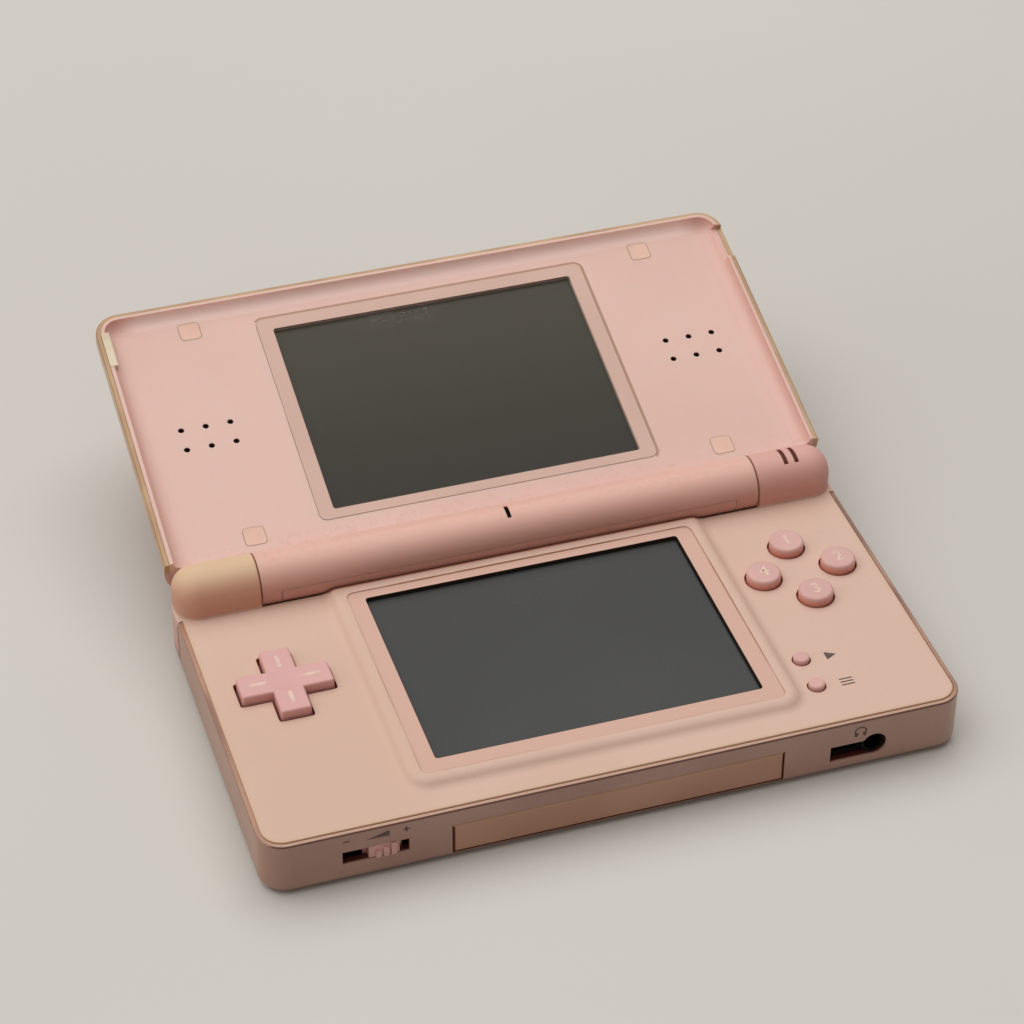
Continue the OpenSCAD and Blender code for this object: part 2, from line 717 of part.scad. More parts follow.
module main_board() {
    color("#2f6b4a")
    difference() {
        board_back = stylus_y - stylus_bore_r - 0.5;
        translate([-half_w + wall + 1.2, front_y + wall + 1.6, board_z])
            cube([case_w - 2 * wall - 2.4, board_back - front_y - wall - 1.6, board_t]);
        translate([-cover_off - bay_w / 2 - 1.4, front_y, board_z - 1]) cube([bay_w + 2.8, bay_d + 1.2, 4]);
        for (p = case_screw_at) translate([p[0], p[1], board_z - 1]) cylinder(h = 4, r = boss_r + 0.7);
        translate([volume_x - volume_w / 2 - 1.4, front_y, board_z - 1]) cube([volume_w + 2.8, 7.2, 4]);
        translate([plug_x - socket_w + plug_r + 0.4, front_y, board_z - 1])
            cube([socket_w + 2, plug_d + wall + 2, 4]);
        translate([half_w - 7.4, power_y - power_len / 2 - 1.4, board_z - 1]) cube([7, power_len + 2.8, 4]);
    }
    color("#26282b") {
        translate([20, -6, board_z - 1.2]) cube([12, 12, 1.2 + eps]);
        translate([-4, -10.5, board_z - 1]) cube([14, 7, 1 + eps]);
        translate([38, -8, board_z - 1]) cube([9, 6, 1 + eps]);
    }
}

module lower_display() {
    color("#8d9094")
    translate([0, (module_back + module_front) / 2, display_under])
        slab(module_w, module_back - module_front, module_t, 0.6);
}

module touch_panel() {
    color("#4c4d4c")
    translate([0, (module_back + module_front) / 2, touch_under])
        slab(module_w, module_back - module_front, touch_t, 0.6);
}

// A rubber sheet on the board with domes at the given places
module membrane(at, w, d, dome_r, dome_top, turn) {
    translate([at[0][0], at[0][1], board_top]) rotate(turn) slab(w, d, 0.35, 2);
    for (i = [1:len(at) - 1]) translate([at[i][0], at[i][1], board_top])
        cylinder(h = dome_top - board_top, r1 = dome_r, r2 = dome_r * 0.7);
}

module direction_membrane() {
    color("#b9b4ac")
    membrane(concat([[pad_x, pad_y]],
        [for (turn = [0:90:270]) [pad_x + 6.2 * cos(turn), pad_y + 6.2 * sin(turn)]]),
        18, 18, 1.9, pad_pivot_z - 0.3, 0);
}

module face_button_membrane() {
    color("#b9b4ac")
    membrane(concat([[face_x, face_y]],
        [for (turn = [0:90:270])
            [face_x + face_button_pitch * cos(turn), face_y + face_button_pitch * sin(turn)]]),
        18, 18, 2.6, flange_under - button_travel - 0.05, 45);
}

module menu_button_membrane() {
    color("#b9b4ac")
    membrane([[menu_x, menu_y + menu_button_pitch / 2], [menu_x, menu_y],
        [menu_x, menu_y + menu_button_pitch]],
        5, menu_button_pitch + 5, 1.8, flange_under - button_travel - 0.05, 0);
}

// Cage of the game card slot: sides and lid of sheet steel, contact block at the inner end
module card_slot() {
    inner_y = back_y - card_d;
    color("#b8bcc0") difference() {
        translate([-card_w / 2 - 0.5, inner_y - 2.6, floor_t])
            cube([card_w + 1, card_d - 6.6 + 2.6, card_h + 0.2]);
        translate([-card_w / 2, inner_y, floor_t - 1]) cube([card_w, card_d, card_h + 1]);
    }
}

module cartridge_slot() {
    color("#3a3c40") difference() {
        translate([-cover_off - connector_w / 2, front_y + bay_d + 1, floor_t])
            cube([connector_w, 4.2, board_z - floor_t - 0.2]);
        translate([-cover_off - connector_w / 2 + 2, front_y + bay_d, floor_t + 1.6])
            cube([connector_w - 4, 4, 2.2]);
    }
}

module headphone_socket() {
    socket_y = front_y + wall + 0.05;
    color("#2c2c2e") difference() {
        union() {
            translate([plug_x - socket_w + plug_r + 1, socket_y, plug_z - plug_r - 0.5])
                cube([socket_w, plug_d + 0.8, board_top - plug_z + plug_r + 0.45]);
            translate([plug_x, socket_y + eps, plug_z]) rotate([90, 0, 0])
                cylinder(h = plug_nose_l + eps, r = mouth_r - 0.1);
        }
        translate([plug_x, socket_y + plug_d, plug_z]) rotate([90, 0, 0])
            cylinder(h = plug_d + plug_nose_l + 1, r = plug_r);
        translate([plug_x - 8, socket_y - 1, plug_z - 1.3]) cube([5.2, 6, 2.2]);
    }
}

module charge_socket() {
    color("#2c2c2e") difference() {
        translate([charge_x - 4.5, back_y - 7.1, 3]) cube([9, 6.4, 3.2]);
        translate([charge_x - 3.8, back_y - 6, 3.5]) cube([7.6, 6, 2.2]);
    }
    color("#c8a24a") translate([charge_x - 3, back_y - 6.2, 4.35]) cube([6, 4, 0.5]);
}

module volume_switch() {
    color("#d9d4cc")
    translate([volume_x - volume_w / 2 - 1, front_y + wall + 1.1, volume_z - 1.9])
        cube([volume_w + 2, 3.6, 3.8]);
}

module power_switch() {
    color("#d9d4cc")
    translate([half_w - wall - 4.4, power_y - power_len / 2 - 1, power_z - 1.9])
        cube([3.2, power_len + 2, 3.8]);
}

module case_screws() {
    color("silver")
    for (p = case_screw_at) translate([p[0], p[1], 1.6])
        screw(screw_head_r, 1, screw_r - 0.02, shoulder_h - 3.2);
}

module screw_plugs() {
    color("#b58d84")
    for (i = [0, 1]) translate([case_screw_at[i][0], case_screw_at[i][1], 0.1])
        cylinder(h = 1.45, r = screw_head_r + 0.2 - 0.03);
}

// Friction clutch in the right knuckle; the lid's shaft turns in its bore
module hinge_clutch() {
    color("#8f9398") translate([0, hinge_y, hinge_z]) difference() {
        rod_x(knuckle_x + 0.15, knuckle_len - 4.2, knuckle_bore_r - turn_gap);
        rod_x(knuckle_x, knuckle_len - 6, shaft_r + turn_gap);
    }
}

// Hollow bush in the left knuckle; its nose carries the barrel and the cable runs through it
module hinge_bush() {
    color("#d7cfc6") translate([0, hinge_y, hinge_z]) difference() {
        union() {
            rod_x(-knuckle_x - 5.6, 5.45, knuckle_bore_r - turn_gap);
            rod_x(-knuckle_x - 1, 1 + knuckle_gap + hinge_wall, 2.6);
        }
        rod_x(-knuckle_x - 10, 14, 1.9);
    }
}

module status_lights() {
    color("#5b3a2e") light_slots(knuckle_bore_r + 0.05, hinge_r - 0.1, 0.03);
}

module shoulder_pins() {
    color("silver")
    for (side = [-1, 1]) translate([side * pivot_x, pivot_y, floor_t + 0.5])
        cylinder(h = hinge_z - trough_r - floor_t - 0.6, r = pin_r - 0.01);
}

// Torsion springs on the shoulder pins, under the buttons' bosses
module shoulder_springs() {
    color("#c9ccd0")
    for (side = [-1, 1]) translate([side * pivot_x, pivot_y, shoulder_z + 0.1]) {
        for (turn = [0:2]) translate([0, 0, 0.25 + turn * 0.55])
            rotate_extrude() translate([1.25, 0]) circle(0.22, $fn = 16);
        translate([-side * 0.2 - 0.2, 1.0, 0.1]) cube([0.4, 0.5, 1.5]);
    }
}

module wireless_module() {
    color("#3b6f8c")
    translate([half_w - 14 - radio_w, hinge_y - 12 - radio_d, board_z - 2]) cube([radio_w, radio_d, 0.8]);
    color("#b8bcc0")
    translate([half_w - 13 - radio_w, hinge_y - 11 - radio_d, board_z - 1.2 - eps])
        cube([radio_w - 3, radio_d - 3, 1.15]);
}

// Moving controls ------------------------------------------------------------

// The ball on which the direction pad rocks
module pad_nub() {
    color("#c9c3ba") translate([pad_x, pad_y, 0]) difference() {
        translate([0, 0, pad_pivot_z]) sphere(r = nub_r);
        translate([-2, -2, board_top + 0.45 - 4]) cube(4);
    }
}

module direction_pad() {
    pad_top = deck_h + button_rise;
    color("#dba5a4") translate([pad_x, pad_y, 0]) difference() {
        union() {
            for (turn = [0, 90]) translate([0, 0, flange_under]) rotate(turn)
                soft_block(pad_span, pad_arm, pad_top - flange_under, 0.6, 0, 0.45);
            translate([0, 0, pad_pivot_z + 0.5]) cylinder(h = flange_t, r = pad_flange_r);
            translate([0, 0, pad_pivot_z - 0.1]) cylinder(h = 1, r = 2.4);
        }
        translate([0, 0, pad_pivot_z]) sphere(r = nub_r + turn_gap);
        translate([0, 0, pad_top + 22 - 0.25]) sphere(r = 22, $fn = 96);
    }
}

// A round button with a soft top edge and a flange under the deck
module round_button(r, rise) {
    color("#dba5a4") {
        translate([0, 0, flange_under + eps])
            rotate_extrude() edge_profile(r, deck_h + rise - flange_under, 0, min(0.6, rise / 2));
        translate([0, 0, flange_under]) cylinder(h = flange_t, r = r + 1.1);
    }
}

module face_button(turn) {
    translate([face_x + face_button_pitch * cos(turn), face_y + face_button_pitch * sin(turn), 0])
        round_button(face_button_r, button_rise);
}

module face_button_right() { face_button(0); }
module face_button_rear() { face_button(90); }
module face_button_left() { face_button(180); }
module face_button_front() { face_button(270); }

module menu_button_front() {
    translate([menu_x, menu_y, 0]) round_button(menu_button_r, menu_button_rise);
}

module menu_button_rear() {
    translate([menu_x, menu_y + menu_button_pitch, 0]) round_button(menu_button_r, menu_button_rise);
}

// Thumb piece with upright ribs, and the tongue that slides behind the wall
module volume_slider() {
    color("#e2b3b4") translate([thumb_x, front_y, volume_z]) {
        translate([-thumb_w / 2, 0.15, -volume_h / 2 + 0.1]) cube([thumb_w, wall + 0.35, volume_h - 0.2]);
        // three ribs that grow towards the loud end
        for (i = [0:2]) translate([-thumb_w / 2 + (0.9 + i) * thumb_w / 4, -0.3, -volume_h / 2 + 0.1])
            cube([thumb_w / 5.6, 1, (volume_h - 0.2) * (0.5 + 0.25 * i)]);
        translate([-thumb_w / 2 - 0.8, wall + 0.1, -volume_h / 2 - 0.5])
            cube([thumb_w + 1.6, 0.8, volume_h + 1]);
    }
}

module power_slider() {
    rest_y = power_y - power_travel / 2;
    color("#c99d92") translate([half_w, rest_y, power_z]) {
        translate([-wall - 0.5, -2.6, -1.1]) cube([wall + 0.5, 5.2, 2.2]);
        for (i = [-2:2]) translate([-0.5, i - 0.25, -1.1]) cube([0.85, 0.5, 2.2]);
        translate([-wall - 0.9, -3.4, -1.6]) cube([0.8, 6.8, 3.2]);
    }
}

// Corner piece that follows the case's outline, with a boss on its pin
module shoulder_button(side) {
    height = shoulder_top - shoulder_z;
    boss_top = hinge_z - trough_r - 0.15;
    mirror([side < 0 ? 1 : 0, 0, 0]) difference() {
        union() {
            translate([0, 0, shoulder_z]) linear_extrude(height) intersection() {
                difference() {
                    rounded_rect(case_w, case_d, corner_r);
                    rounded_rect(case_w - 2 * shoulder_t, case_d - 2 * shoulder_t, corner_r - shoulder_t);
                }
                union() {
                    translate([half_w - shoulder_len, back_y - 4]) square([shoulder_len, 4]);
                    translate([half_w - 6, shoulder_front]) square([6, shoulder_side]);
                }
            }
            translate([pivot_x, pivot_y, shoulder_z + 2.2]) {
                cylinder(h = boss_top - shoulder_z - 2.2, r = 1.6);
                translate([-1, 0, 0])
                    cube([2, back_y - shoulder_t - pivot_y + 0.2, boss_top - shoulder_z - 2.2]);
            }
        }
        translate([pivot_x, pivot_y, 0]) cylinder(h = closed_h, r = pin_r + turn_gap);
    }
}

module shoulder_button_left() { color("#b9a49b") shoulder_button(-1); }
module shoulder_button_right() { color("#b9a49b") shoulder_button(1); }

// Blank for the front bay: a bevelled face with a hollow body behind it
module dust_cover() {
    color("#d9ab93")
    translate([-cover_off, front_y, cover_z]) {
        translate([0, 0, cover_h / 2]) rotate([90, 0, 0]) mirror([0, 0, 1])
            bevelled_plate(cover_w, cover_h, 1.6, 0.45);
        for (side = [-1, 1]) translate([side * (cover_w / 2 - 1.2) - 0.7, 1, 0.5])
            cube([1.4, bay_d - 2.2, cover_h - 1]);
        translate([-cover_w / 2 + 1, 1, 0.5]) cube([cover_w - 2, bay_d - 6, 0.8]);
    }
}

// A rectangular plate whose front edge is bevelled
module bevelled_plate(w, h, t, bevel) {
    translate([0, 0, bevel]) linear_extrude(t - bevel) square([w, h], center = true);
    hull() {
        translate([0, 0, bevel]) linear_extrude(eps) square([w, h], center = true);
        linear_extrude(eps) square([w - 2 * bevel, h - 2 * bevel], center = true);
    }
}

// Round rod with a tapered tip and a flattened, ridged end
module stylus() {
    color("#e6c9c4") translate([0, stylus_y, stylus_z]) difference() {
        translate([half_w, 0, 0]) rotate([0, -90, 0]) rotate_extrude() polygon([
            [0, 0], [stylus_r - 0.3, 0], [stylus_r, 0.3], [stylus_r, stylus_len * 0.86],
            [stylus_r * 0.45, stylus_len - 1.2], [stylus_r * 0.36, stylus_len - 0.4],
            [0, stylus_len]
        ]);
        translate([half_w - 3.4, -stylus_r - 1, stylus_r - 0.5]) cube([2.2, 2 * stylus_r + 2, 2]);
    }
}

// Lid ------------------------------------------------------------------------

// The lid's form at its sides and far edge, where the shell tucks under the rim.
// inset moves every face inwards, top is the height of the open side, lip rounds that edge.
module lid_sides(inset, top, lip) {
    reach = 12;
    far = lid_far - inset;
    translate([0, (far - reach) / 2, lid_back + inset])
        soft_block(case_w - 2 * inset, far + reach, top - lid_back - inset, corner_r - inset,
            lid_edge_run - inset, lip, lid_edge_rise - inset);
}

// The same, closed off by the round near edge
module lid_form(inset, top, lip) {
    near_r = lid_near_r - inset;
    intersection() {
        lid_sides(inset, top, lip);
        translate([-half_w, 0, 0]) rotate([90, 0, 90]) linear_extrude(case_w) {
            translate([lid_near + inset, lid_back + lid_near_r]) square([lid_l + 1, 40]);
            translate([lid_near + lid_near_r, lid_back + inset]) square([lid_l + 1, near_r + eps]);
            translate([lid_near + lid_near_r, lid_back + lid_near_r]) circle(near_r);
        }
    }
}

module lid_outer_cover() {
    color("#c79a8c") laid_open() difference() {
        union() {
            difference() {
                lid_form(0, rim_z - 0.3, lid_lip_r);
                lid_form(skin_t, 20, 0);
                intersection() {
                    lid_sides(skin_t, 20, 0);
                    translate([-half_w, lid_near - 1, split_z]) cube([case_w, corner_r, 20]);
                }
            }
            for (x = [-1, 1], y = lid_screw_y) translate([x * lid_screw_x, y, lid_back + skin_t - eps])
                cylinder(h = -2.1 - lid_back - skin_t, r = boss_r);
        }
        for (x = [-1, 1], y = lid_screw_y) translate([x * lid_screw_x, y, lid_back + skin_t + 0.4])
            cylinder(h = 8, r = screw_r);
        // the right bumper's seat is open to the side
        translate([half_w - 2, lid_far - bumper_in - bumper_len / 2, bumper_z]) cube([3, bumper_len, 3]);
    }
}

module rim_profile() {
    difference() {
        union() {
            translate([0, split_z]) square([inner_r, rim_z - split_z - 0.3]);
            translate([0, rim_z - 0.3 - eps]) square([inner_r - 0.3, 0.3 + eps]);
            translate([inner_r - 0.3, rim_z - 0.3]) circle(0.3);
        }
        translate([-1, face_z]) square([inner_r - rim_land - cove_run + 1, 10]);
        translate([inner_r - rim_land - cove_run, rim_z])
            scale([cove_run / face_depth, 1]) circle(face_depth);
        translate([-1, split_z - 1]) square([inner_r, face_z - plate_t - split_z + 1]);
    }
}

// The sector of the barrel that the barrel cover closes, shrunk by gap
module barrel_hatch(outer, gap) {
    hatch_x = -barrel_half + 3.7 + gap;
    translate([hatch_x, 0, 0]) rotate([90, 0, 90]) rotate([0, 0, 160 + gap * 8])
        rotate_extrude(angle = 95 - gap * 16) translate([hinge_r - hinge_wall, 0])
            square([outer - hinge_r + hinge_wall, 2 * barrel_half - 8.2 - 2 * gap]);
}

module lid_inner_cover() {
    tray_near = -12;
    tray_l = inner_far - tray_near;
    tray_mid = (inner_far + tray_near) / 2;
    color("#ecbdb9") laid_open() difference() {
        union() {
            // tray with its rim on three sides
            intersection() {
                translate([0, tray_mid, 0]) {
                    swept_round(inner_w, tray_l, inner_r) rim_profile();
                    translate([-inner_w / 2 + inner_r - eps, -tray_l / 2 + inner_r - eps, face_z - plate_t])
                        cube([inner_w - 2 * inner_r + 2 * eps, tray_l - 2 * inner_r + 2 * eps, plate_t]);
                }
                translate([-half_w, lid_near, split_z - 1]) cube([case_w, lid_l, 20]);
                lid_sides(skin_t + fit_gap / 2, 20, 0);
            }
            // near wall over the outer cover's, and the neck to the barrel
            intersection() {
                translate([-inner_w / 2, lid_near, split_z]) cube([inner_w, 1, face_z - split_z]);
                lid_sides(skin_t + fit_gap / 2, 20, 0);
            }
            translate([-barrel_half, 0, split_z]) cube([2 * barrel_half, lid_near + 0.5, face_z - split_z]);
            rod_x(-barrel_half, 2 * barrel_half, hinge_r);
            for (x = [-1, 1], y = lid_screw_y) translate([x * lid_screw_x, y, -2])
                cylinder(h = 2, r = boss_r + 0.3);
        }
        // hollow barrel with end walls bored for the bush and the shaft
        rod_x(-barrel_half + hinge_wall, 2 * (barrel_half - hinge_wall), hinge_r - hinge_wall);
        rod_x(-barrel_half - 1, 4, 2.6 + turn_gap);
        rod_x(barrel_half - 3, 4, shaft_r);
        barrel_hatch(hinge_r + 1, 0);
        // slot that lets the cable into the lid
        translate([cable_x - 0.2, 2, -1.9]) cube([cable_w + 0.4, lid_near, 0.8]);
        // microphone slot
        rotate([64, 0, 0]) translate([-0.6, 0, 0]) rotate([90, 0, 90]) rotate_extrude(angle = 36)
            translate([hinge_r - hinge_wall - 1, 0]) square([hinge_wall + 2, 0.85]);
        // window seat and screen opening
        translate([0, window_y, window_z - window_t - glue_t])
            slab(window_w + 0.1, window_h + 0.1, 5, 1.5);
        translate([0, upper_y, -5]) slab(screen_w, screen_h, 10, 0.6);
        // speaker holes
        for (side = [-1, 1], x = [-1:1], y = [-0.5, 0.5])
            translate([side * speaker_x + x * hole_pitch, speaker_y + y * hole_pitch, -3])
                cylinder(h = 6, r = hole_r, $fn = 20);
        // cap seats, counterbores and screw holes
        for (x = [-1, 1], y = lid_screw_y) translate([x * lid_screw_x, y, 0]) {
            translate([0, 0, face_z - 0.5]) slab(cap_size + 0.1, cap_size + 0.1, 3, 0.8);
            translate([0, 0, -1.2]) cylinder(h = 3, r = screw_head_r);
            translate([0, 0, -3]) cylinder(h = 6, r = screw_r + 0.1);
        }
        // bumper seats in the rim
        for (side = [-1, 1])
            translate([side * (inner_w / 2 - 0.75) - 0.85, lid_far - bumper_in - bumper_len / 2, bumper_z])
                cube([1.7, bumper_len, 3]);
    }
}

module barrel_cover() {
    color("#ecbdb9") laid_open() barrel_hatch(hinge_r, hatch_gap);
}

// Shaft of the hinge: fixed in the barrel's end wall, turning in the clutch
module hinge_shaft() {
    color("silver") laid_open() {
        rod_x(barrel_half - hinge_wall, hinge_wall + knuckle_gap + knuckle_len - 6.4, shaft_r);
        rod_x(barrel_half - hinge_wall - 4, 4, 3.4);
    }
}

module upper_display() {
    display_top = face_z - plate_t;
    color("#3c3d3a") laid_open() translate([0, upper_y, display_top - module_t])
        slab(module_w - 1, screen_h + 4.4, module_t, 0.6);
    color("#3c3d3a") laid_open() translate([0, upper_y, display_top - eps])
        slab(screen_w - 0.1, screen_h - 0.1, window_z - window_t - display_top - 0.05, 0.5);
}

module upper_window() {
    color([0.86, 0.75, 0.72, 0.5]) laid_open() translate([0, window_y, window_z - window_t])
        slab(window_w, window_h, window_t, 1.45);
}

module speakers() {
    color("#33353a") laid_open() for (side = [-1, 1])
        translate([side * speaker_x, speaker_y, face_z - plate_t - speaker_t]) difference() {
            cylinder(h = speaker_t, r = speaker_r);
            translate([0, 0, speaker_t - 0.4]) cylinder(h = 1, r = speaker_r - 1);
        }
}

module microphone() {
    color("#9a9da1") laid_open() rotate([-8, 0, 0]) translate([-0.2, 0, 1.4]) cylinder(h = 2, r = 1.9);
}

// Ribbon cable: rolled inside the barrel and bush, then flat to the upper display
module display_cable() {
    color("#c98a4a") laid_open() {
        difference() {
            rod_x(-knuckle_x - 5, cable_roll, 1.6);
            rod_x(-knuckle_x - 6, cable_roll + 2, 1.6 - 2 * cable_t);
        }
        translate([cable_x, 0, -1.6]) cube([cable_w, module_near - 0.1, cable_t]);
    }
}

module lid_screws() {
    color("silver") laid_open() for (x = [-1, 1], y = lid_screw_y)
        translate([x * lid_screw_x, y, -0.35]) mirror([0, 0, 1])
            screw(screw_head_r - 0.05, 0.85, screw_r - 0.02, 3.4);
}

module lid_screw_caps() {
    color("#e2b9a2") laid_open() for (x = [-1, 1], y = lid_screw_y)
        translate([x * lid_screw_x, y, face_z - 0.5]) slab(cap_size, cap_size, 0.55, 0.75);
}

// Cream bumper in the left seat of the rim; the right seat stands empty
module rim_bumper() {
    color("#e9dfc4") laid_open()
        translate([-inner_w / 2, lid_far - bumper_in - bumper_len / 2 + 0.05, rim_z - 1.3])
            cube([1.55, bumper_len - 0.1, 1.35]);
}

lower_case();
upper_case();
battery_cover();
battery_cover_screw();
battery();
main_board();
lower_display();
touch_panel();
direction_membrane();
face_button_membrane();
menu_button_membrane();
card_slot();
cartridge_slot();
headphone_socket();
charge_socket();
volume_switch();
power_switch();
case_screws();
screw_plugs();
hinge_clutch();
hinge_bush();
status_lights();
shoulder_pins();
shoulder_springs();
wireless_module();
pad_nub();
direction_pad();
face_button_rear();
face_button_right();
face_button_front();
face_button_left();
menu_button_rear();
menu_button_front();
volume_slider();
power_slider();
shoulder_button_left();
shoulder_button_right();
dust_cover();
stylus();
lid_outer_cover();
lid_inner_cover();
barrel_cover();
hinge_shaft();
upper_display();
upper_window();
speakers();
microphone();
display_cable();
lid_screws();
lid_screw_caps();
rim_bumper();
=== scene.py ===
# Clamshell handheld game console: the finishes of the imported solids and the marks
# printed on them, in the order in which the console is put together.

import math

import bpy
from mathutils import Matrix, Vector


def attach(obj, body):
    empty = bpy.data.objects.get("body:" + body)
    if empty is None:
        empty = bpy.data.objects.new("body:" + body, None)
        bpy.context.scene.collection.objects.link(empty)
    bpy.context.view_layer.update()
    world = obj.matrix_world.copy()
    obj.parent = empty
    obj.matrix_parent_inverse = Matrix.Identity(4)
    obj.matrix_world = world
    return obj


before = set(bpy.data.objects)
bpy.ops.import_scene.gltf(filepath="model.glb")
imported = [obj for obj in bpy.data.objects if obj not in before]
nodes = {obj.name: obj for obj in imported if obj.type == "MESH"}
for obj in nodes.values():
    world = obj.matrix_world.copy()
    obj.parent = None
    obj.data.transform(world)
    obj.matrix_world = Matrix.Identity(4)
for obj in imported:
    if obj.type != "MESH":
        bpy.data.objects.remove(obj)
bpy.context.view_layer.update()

# ---------------------------------------------------------------------------
# Camera, lamps and floor
# The console stands on a pale floor under one broad lamp above and behind it,
# with a weak even sky and a softer lamp at its left side.
# ---------------------------------------------------------------------------

bpy.context.scene.view_settings.view_transform = "Standard"

CAMERA_AIM = Vector((0.008241, 0.054438, 0))
CAMERA_DISTANCE = 0.648318
SENSOR_WIDTH = 36
FOCAL_PIXELS = 3204.465
FRAME_PIXELS = 1024

# it stands to the left of the front, looks down, and is hardly rolled
turn = math.radians(-17.811)
rise = math.radians(38.481)
roll = math.radians(0.138)
back = Vector((math.sin(turn) * math.cos(rise), -math.cos(turn) * math.cos(rise), math.sin(rise)))
across = back.cross(Vector((0, 0, -1))).normalized()
upward = back.cross(across)
right = across * math.cos(roll) + upward * math.sin(roll)
above = upward * math.cos(roll) - across * math.sin(roll)

bpy.ops.object.select_all(action="DESELECT")
bpy.ops.object.camera_add()
camera = bpy.context.object
camera.name = "camera"
camera.data.sensor_width = SENSOR_WIDTH
camera.data.lens = SENSOR_WIDTH * FOCAL_PIXELS / FRAME_PIXELS
camera.data.clip_start = 0.01
eye = CAMERA_AIM + back * CAMERA_DISTANCE
camera.matrix_world = Matrix.Translation(eye) @ Matrix((right, above, back)).transposed().to_4x4()
bpy.context.scene.camera = camera


def lamp(name, place, aim, size, power, colour):
    """A rectangular area lamp that looks at a point."""
    bpy.ops.object.light_add(type="AREA", location=place)
    made = bpy.context.object
    made.name = name
    made.data.shape = "RECTANGLE"
    made.data.size, made.data.size_y = size
    made.data.energy = power
    made.data.color = colour
    made.rotation_euler = (Vector(aim) - Vector(place)).to_track_quat("-Z", "Y").to_euler()


lamp("broad_lamp", (-0.2, 0.6, 1.5), (-0.12, 0.4, 0), (2.8, 2.0), 31.5, (1.0, 0.992, 0.968))
lamp("side_lamp", (-1.3, -0.05, 0.55), (0, 0.02, 0), (0.9, 0.7), 2.3, (1.0, 0.94, 0.86))

sky = bpy.data.worlds.new("sky")
bpy.context.scene.world = sky
sky.use_nodes = True
sky_light = sky.node_tree.nodes["Background"].inputs
sky_light["Color"].default_value = (1.0, 0.94, 0.85, 1)
sky_light["Strength"].default_value = 0.28


def paint(r, g, b):
    """A colour written as it shows on a screen, 0 to 255, as the linear colour of a shader."""
    def linear(c):
        return c / 12.92 if c <= 0.04045 else ((c + 0.055) / 1.055) ** 2.4
    return tuple(linear(c / 255) for c in (r, g, b)) + (1.0,)


def add(tree, kind, inputs=None, **settings):
    """Adds a node. An input is given a value, or the output that is wired to it."""
    made = tree.nodes.new(kind)
    for name, value in settings.items():
        setattr(made, name, value)
    for name, value in (inputs or {}).items():
        if isinstance(value, bpy.types.NodeSocket):
            tree.links.new(value, made.inputs[name])
        else:
            made.inputs[name].default_value = value
    return made


def new_finish(name, **plain):
    """A material with a plain shader, whose sockets are named with underscores.

    Gives the material, its tree, its shader and the object's point.
    """
    material = bpy.data.materials.new(name)
    material.use_nodes = True
    tree = material.node_tree
    shader = tree.nodes["Principled BSDF"]
    for socket, value in plain.items():
        shader.inputs[socket.replace("_", " ")].default_value = value
    return material, tree, shader, add(tree, "ShaderNodeTexCoord").outputs["Object"]


def fade(tree, value, start, end):
    """0 before start, 1 after end, and smooth between them; end may be the smaller one."""
    low, high = (start, end) if start < end else (end, start)
    to = (0.0, 1.0) if start < end else (1.0, 0.0)
    node = add(tree, "ShaderNodeMapRange", {"Value": value, "From Min": low, "From Max": high,
                                            "To Min": to[0], "To Max": to[1]},
               interpolation_type="SMOOTHSTEP")
    return node.outputs["Result"]


def blend_colour(tree, mask, below, over):
    """The colour below where the mask is 0, and the colour over it where the mask is 1."""
    node = add(tree, "ShaderNodeMix", data_type="RGBA")
    for index, value in ((0, mask), (6, below), (7, over)):
        if isinstance(value, bpy.types.NodeSocket):
            tree.links.new(value, node.inputs[index])
        else:
            node.inputs[index].default_value = value
    return node.outputs[2]


def effect(name, inputs, outputs):
    """Starts a shared effect: gives the group, its tree's input sockets and its output node."""
    group = bpy.data.node_groups.new(name, "ShaderNodeTree")
    for label, kind, value in inputs:
        socket = group.interface.new_socket(label, in_out="INPUT", socket_type="NodeSocket" + kind)
        if value is not None:
            socket.default_value = value
    for label, kind in outputs:
        group.interface.new_socket(label, in_out="OUTPUT", socket_type="NodeSocket" + kind)
    return group, group.nodes.new("NodeGroupInput").outputs, group.nodes.new("NodeGroupOutput").inputs


def apply_effect(tree, group, inputs):
    """Places a shared effect in a tree and gives its outputs."""
    return add(tree, "ShaderNodeGroup", inputs, node_tree=group).outputs


# Two tones of one colour that drift into each other in soft patches.
mottle, given, put = effect("mottle", [("Point", "Vector", None), ("Patches", "Float", 60.0),
                                       ("Dark", "Color", None), ("Light", "Color", None)],
                            [("Color", "Color")])
patches = add(mottle, "ShaderNodeTexNoise", {"Vector": given["Point"], "Scale": given["Patches"],
                                             "Detail": 2.0, "Roughness": 0.45})
tone = fade(mottle, patches.outputs["Fac"], 0.36, 0.64)
mottle.links.new(blend_colour(mottle, tone, given["Dark"], given["Light"]), put["Color"])


def mottled(tree, point, patches, dark, light):
    """The mottled colour; its two tones are written as they show on a screen."""
    return apply_effect(tree, mottle, {"Point": point, "Patches": patches, "Dark": paint(*dark),
                                       "Light": paint(*light)})["Color"]


FLOOR_WIDTH = 8
# the floor lies a hair below the console, so that the two faces don't fight
FLOOR_DROP = 0.00005

floor_finish, tree, shader, point = new_finish("floor", Roughness=0.9, Specular_IOR_Level=0.15)
floor_colour = mottled(tree, point, 2.2, (203, 200, 196), (210, 208, 204))
tree.links.new(floor_colour, shader.inputs["Base Color"])
bpy.ops.object.select_all(action="DESELECT")
bpy.ops.mesh.primitive_plane_add(size=FLOOR_WIDTH, location=(0, 0, -FLOOR_DROP))
floor = bpy.context.object
floor.name = "floor"
bpy.ops.object.transform_apply(location=True)
floor.data.materials.append(floor_finish)

# ---------------------------------------------------------------------------
# Lower case, battery cover and power slide
# Polycarbonate in two shots: mauve pink inside, clear over it, with a glossy
# skin. The clear top edge that runs round the deck has turned brown with age.
# ---------------------------------------------------------------------------

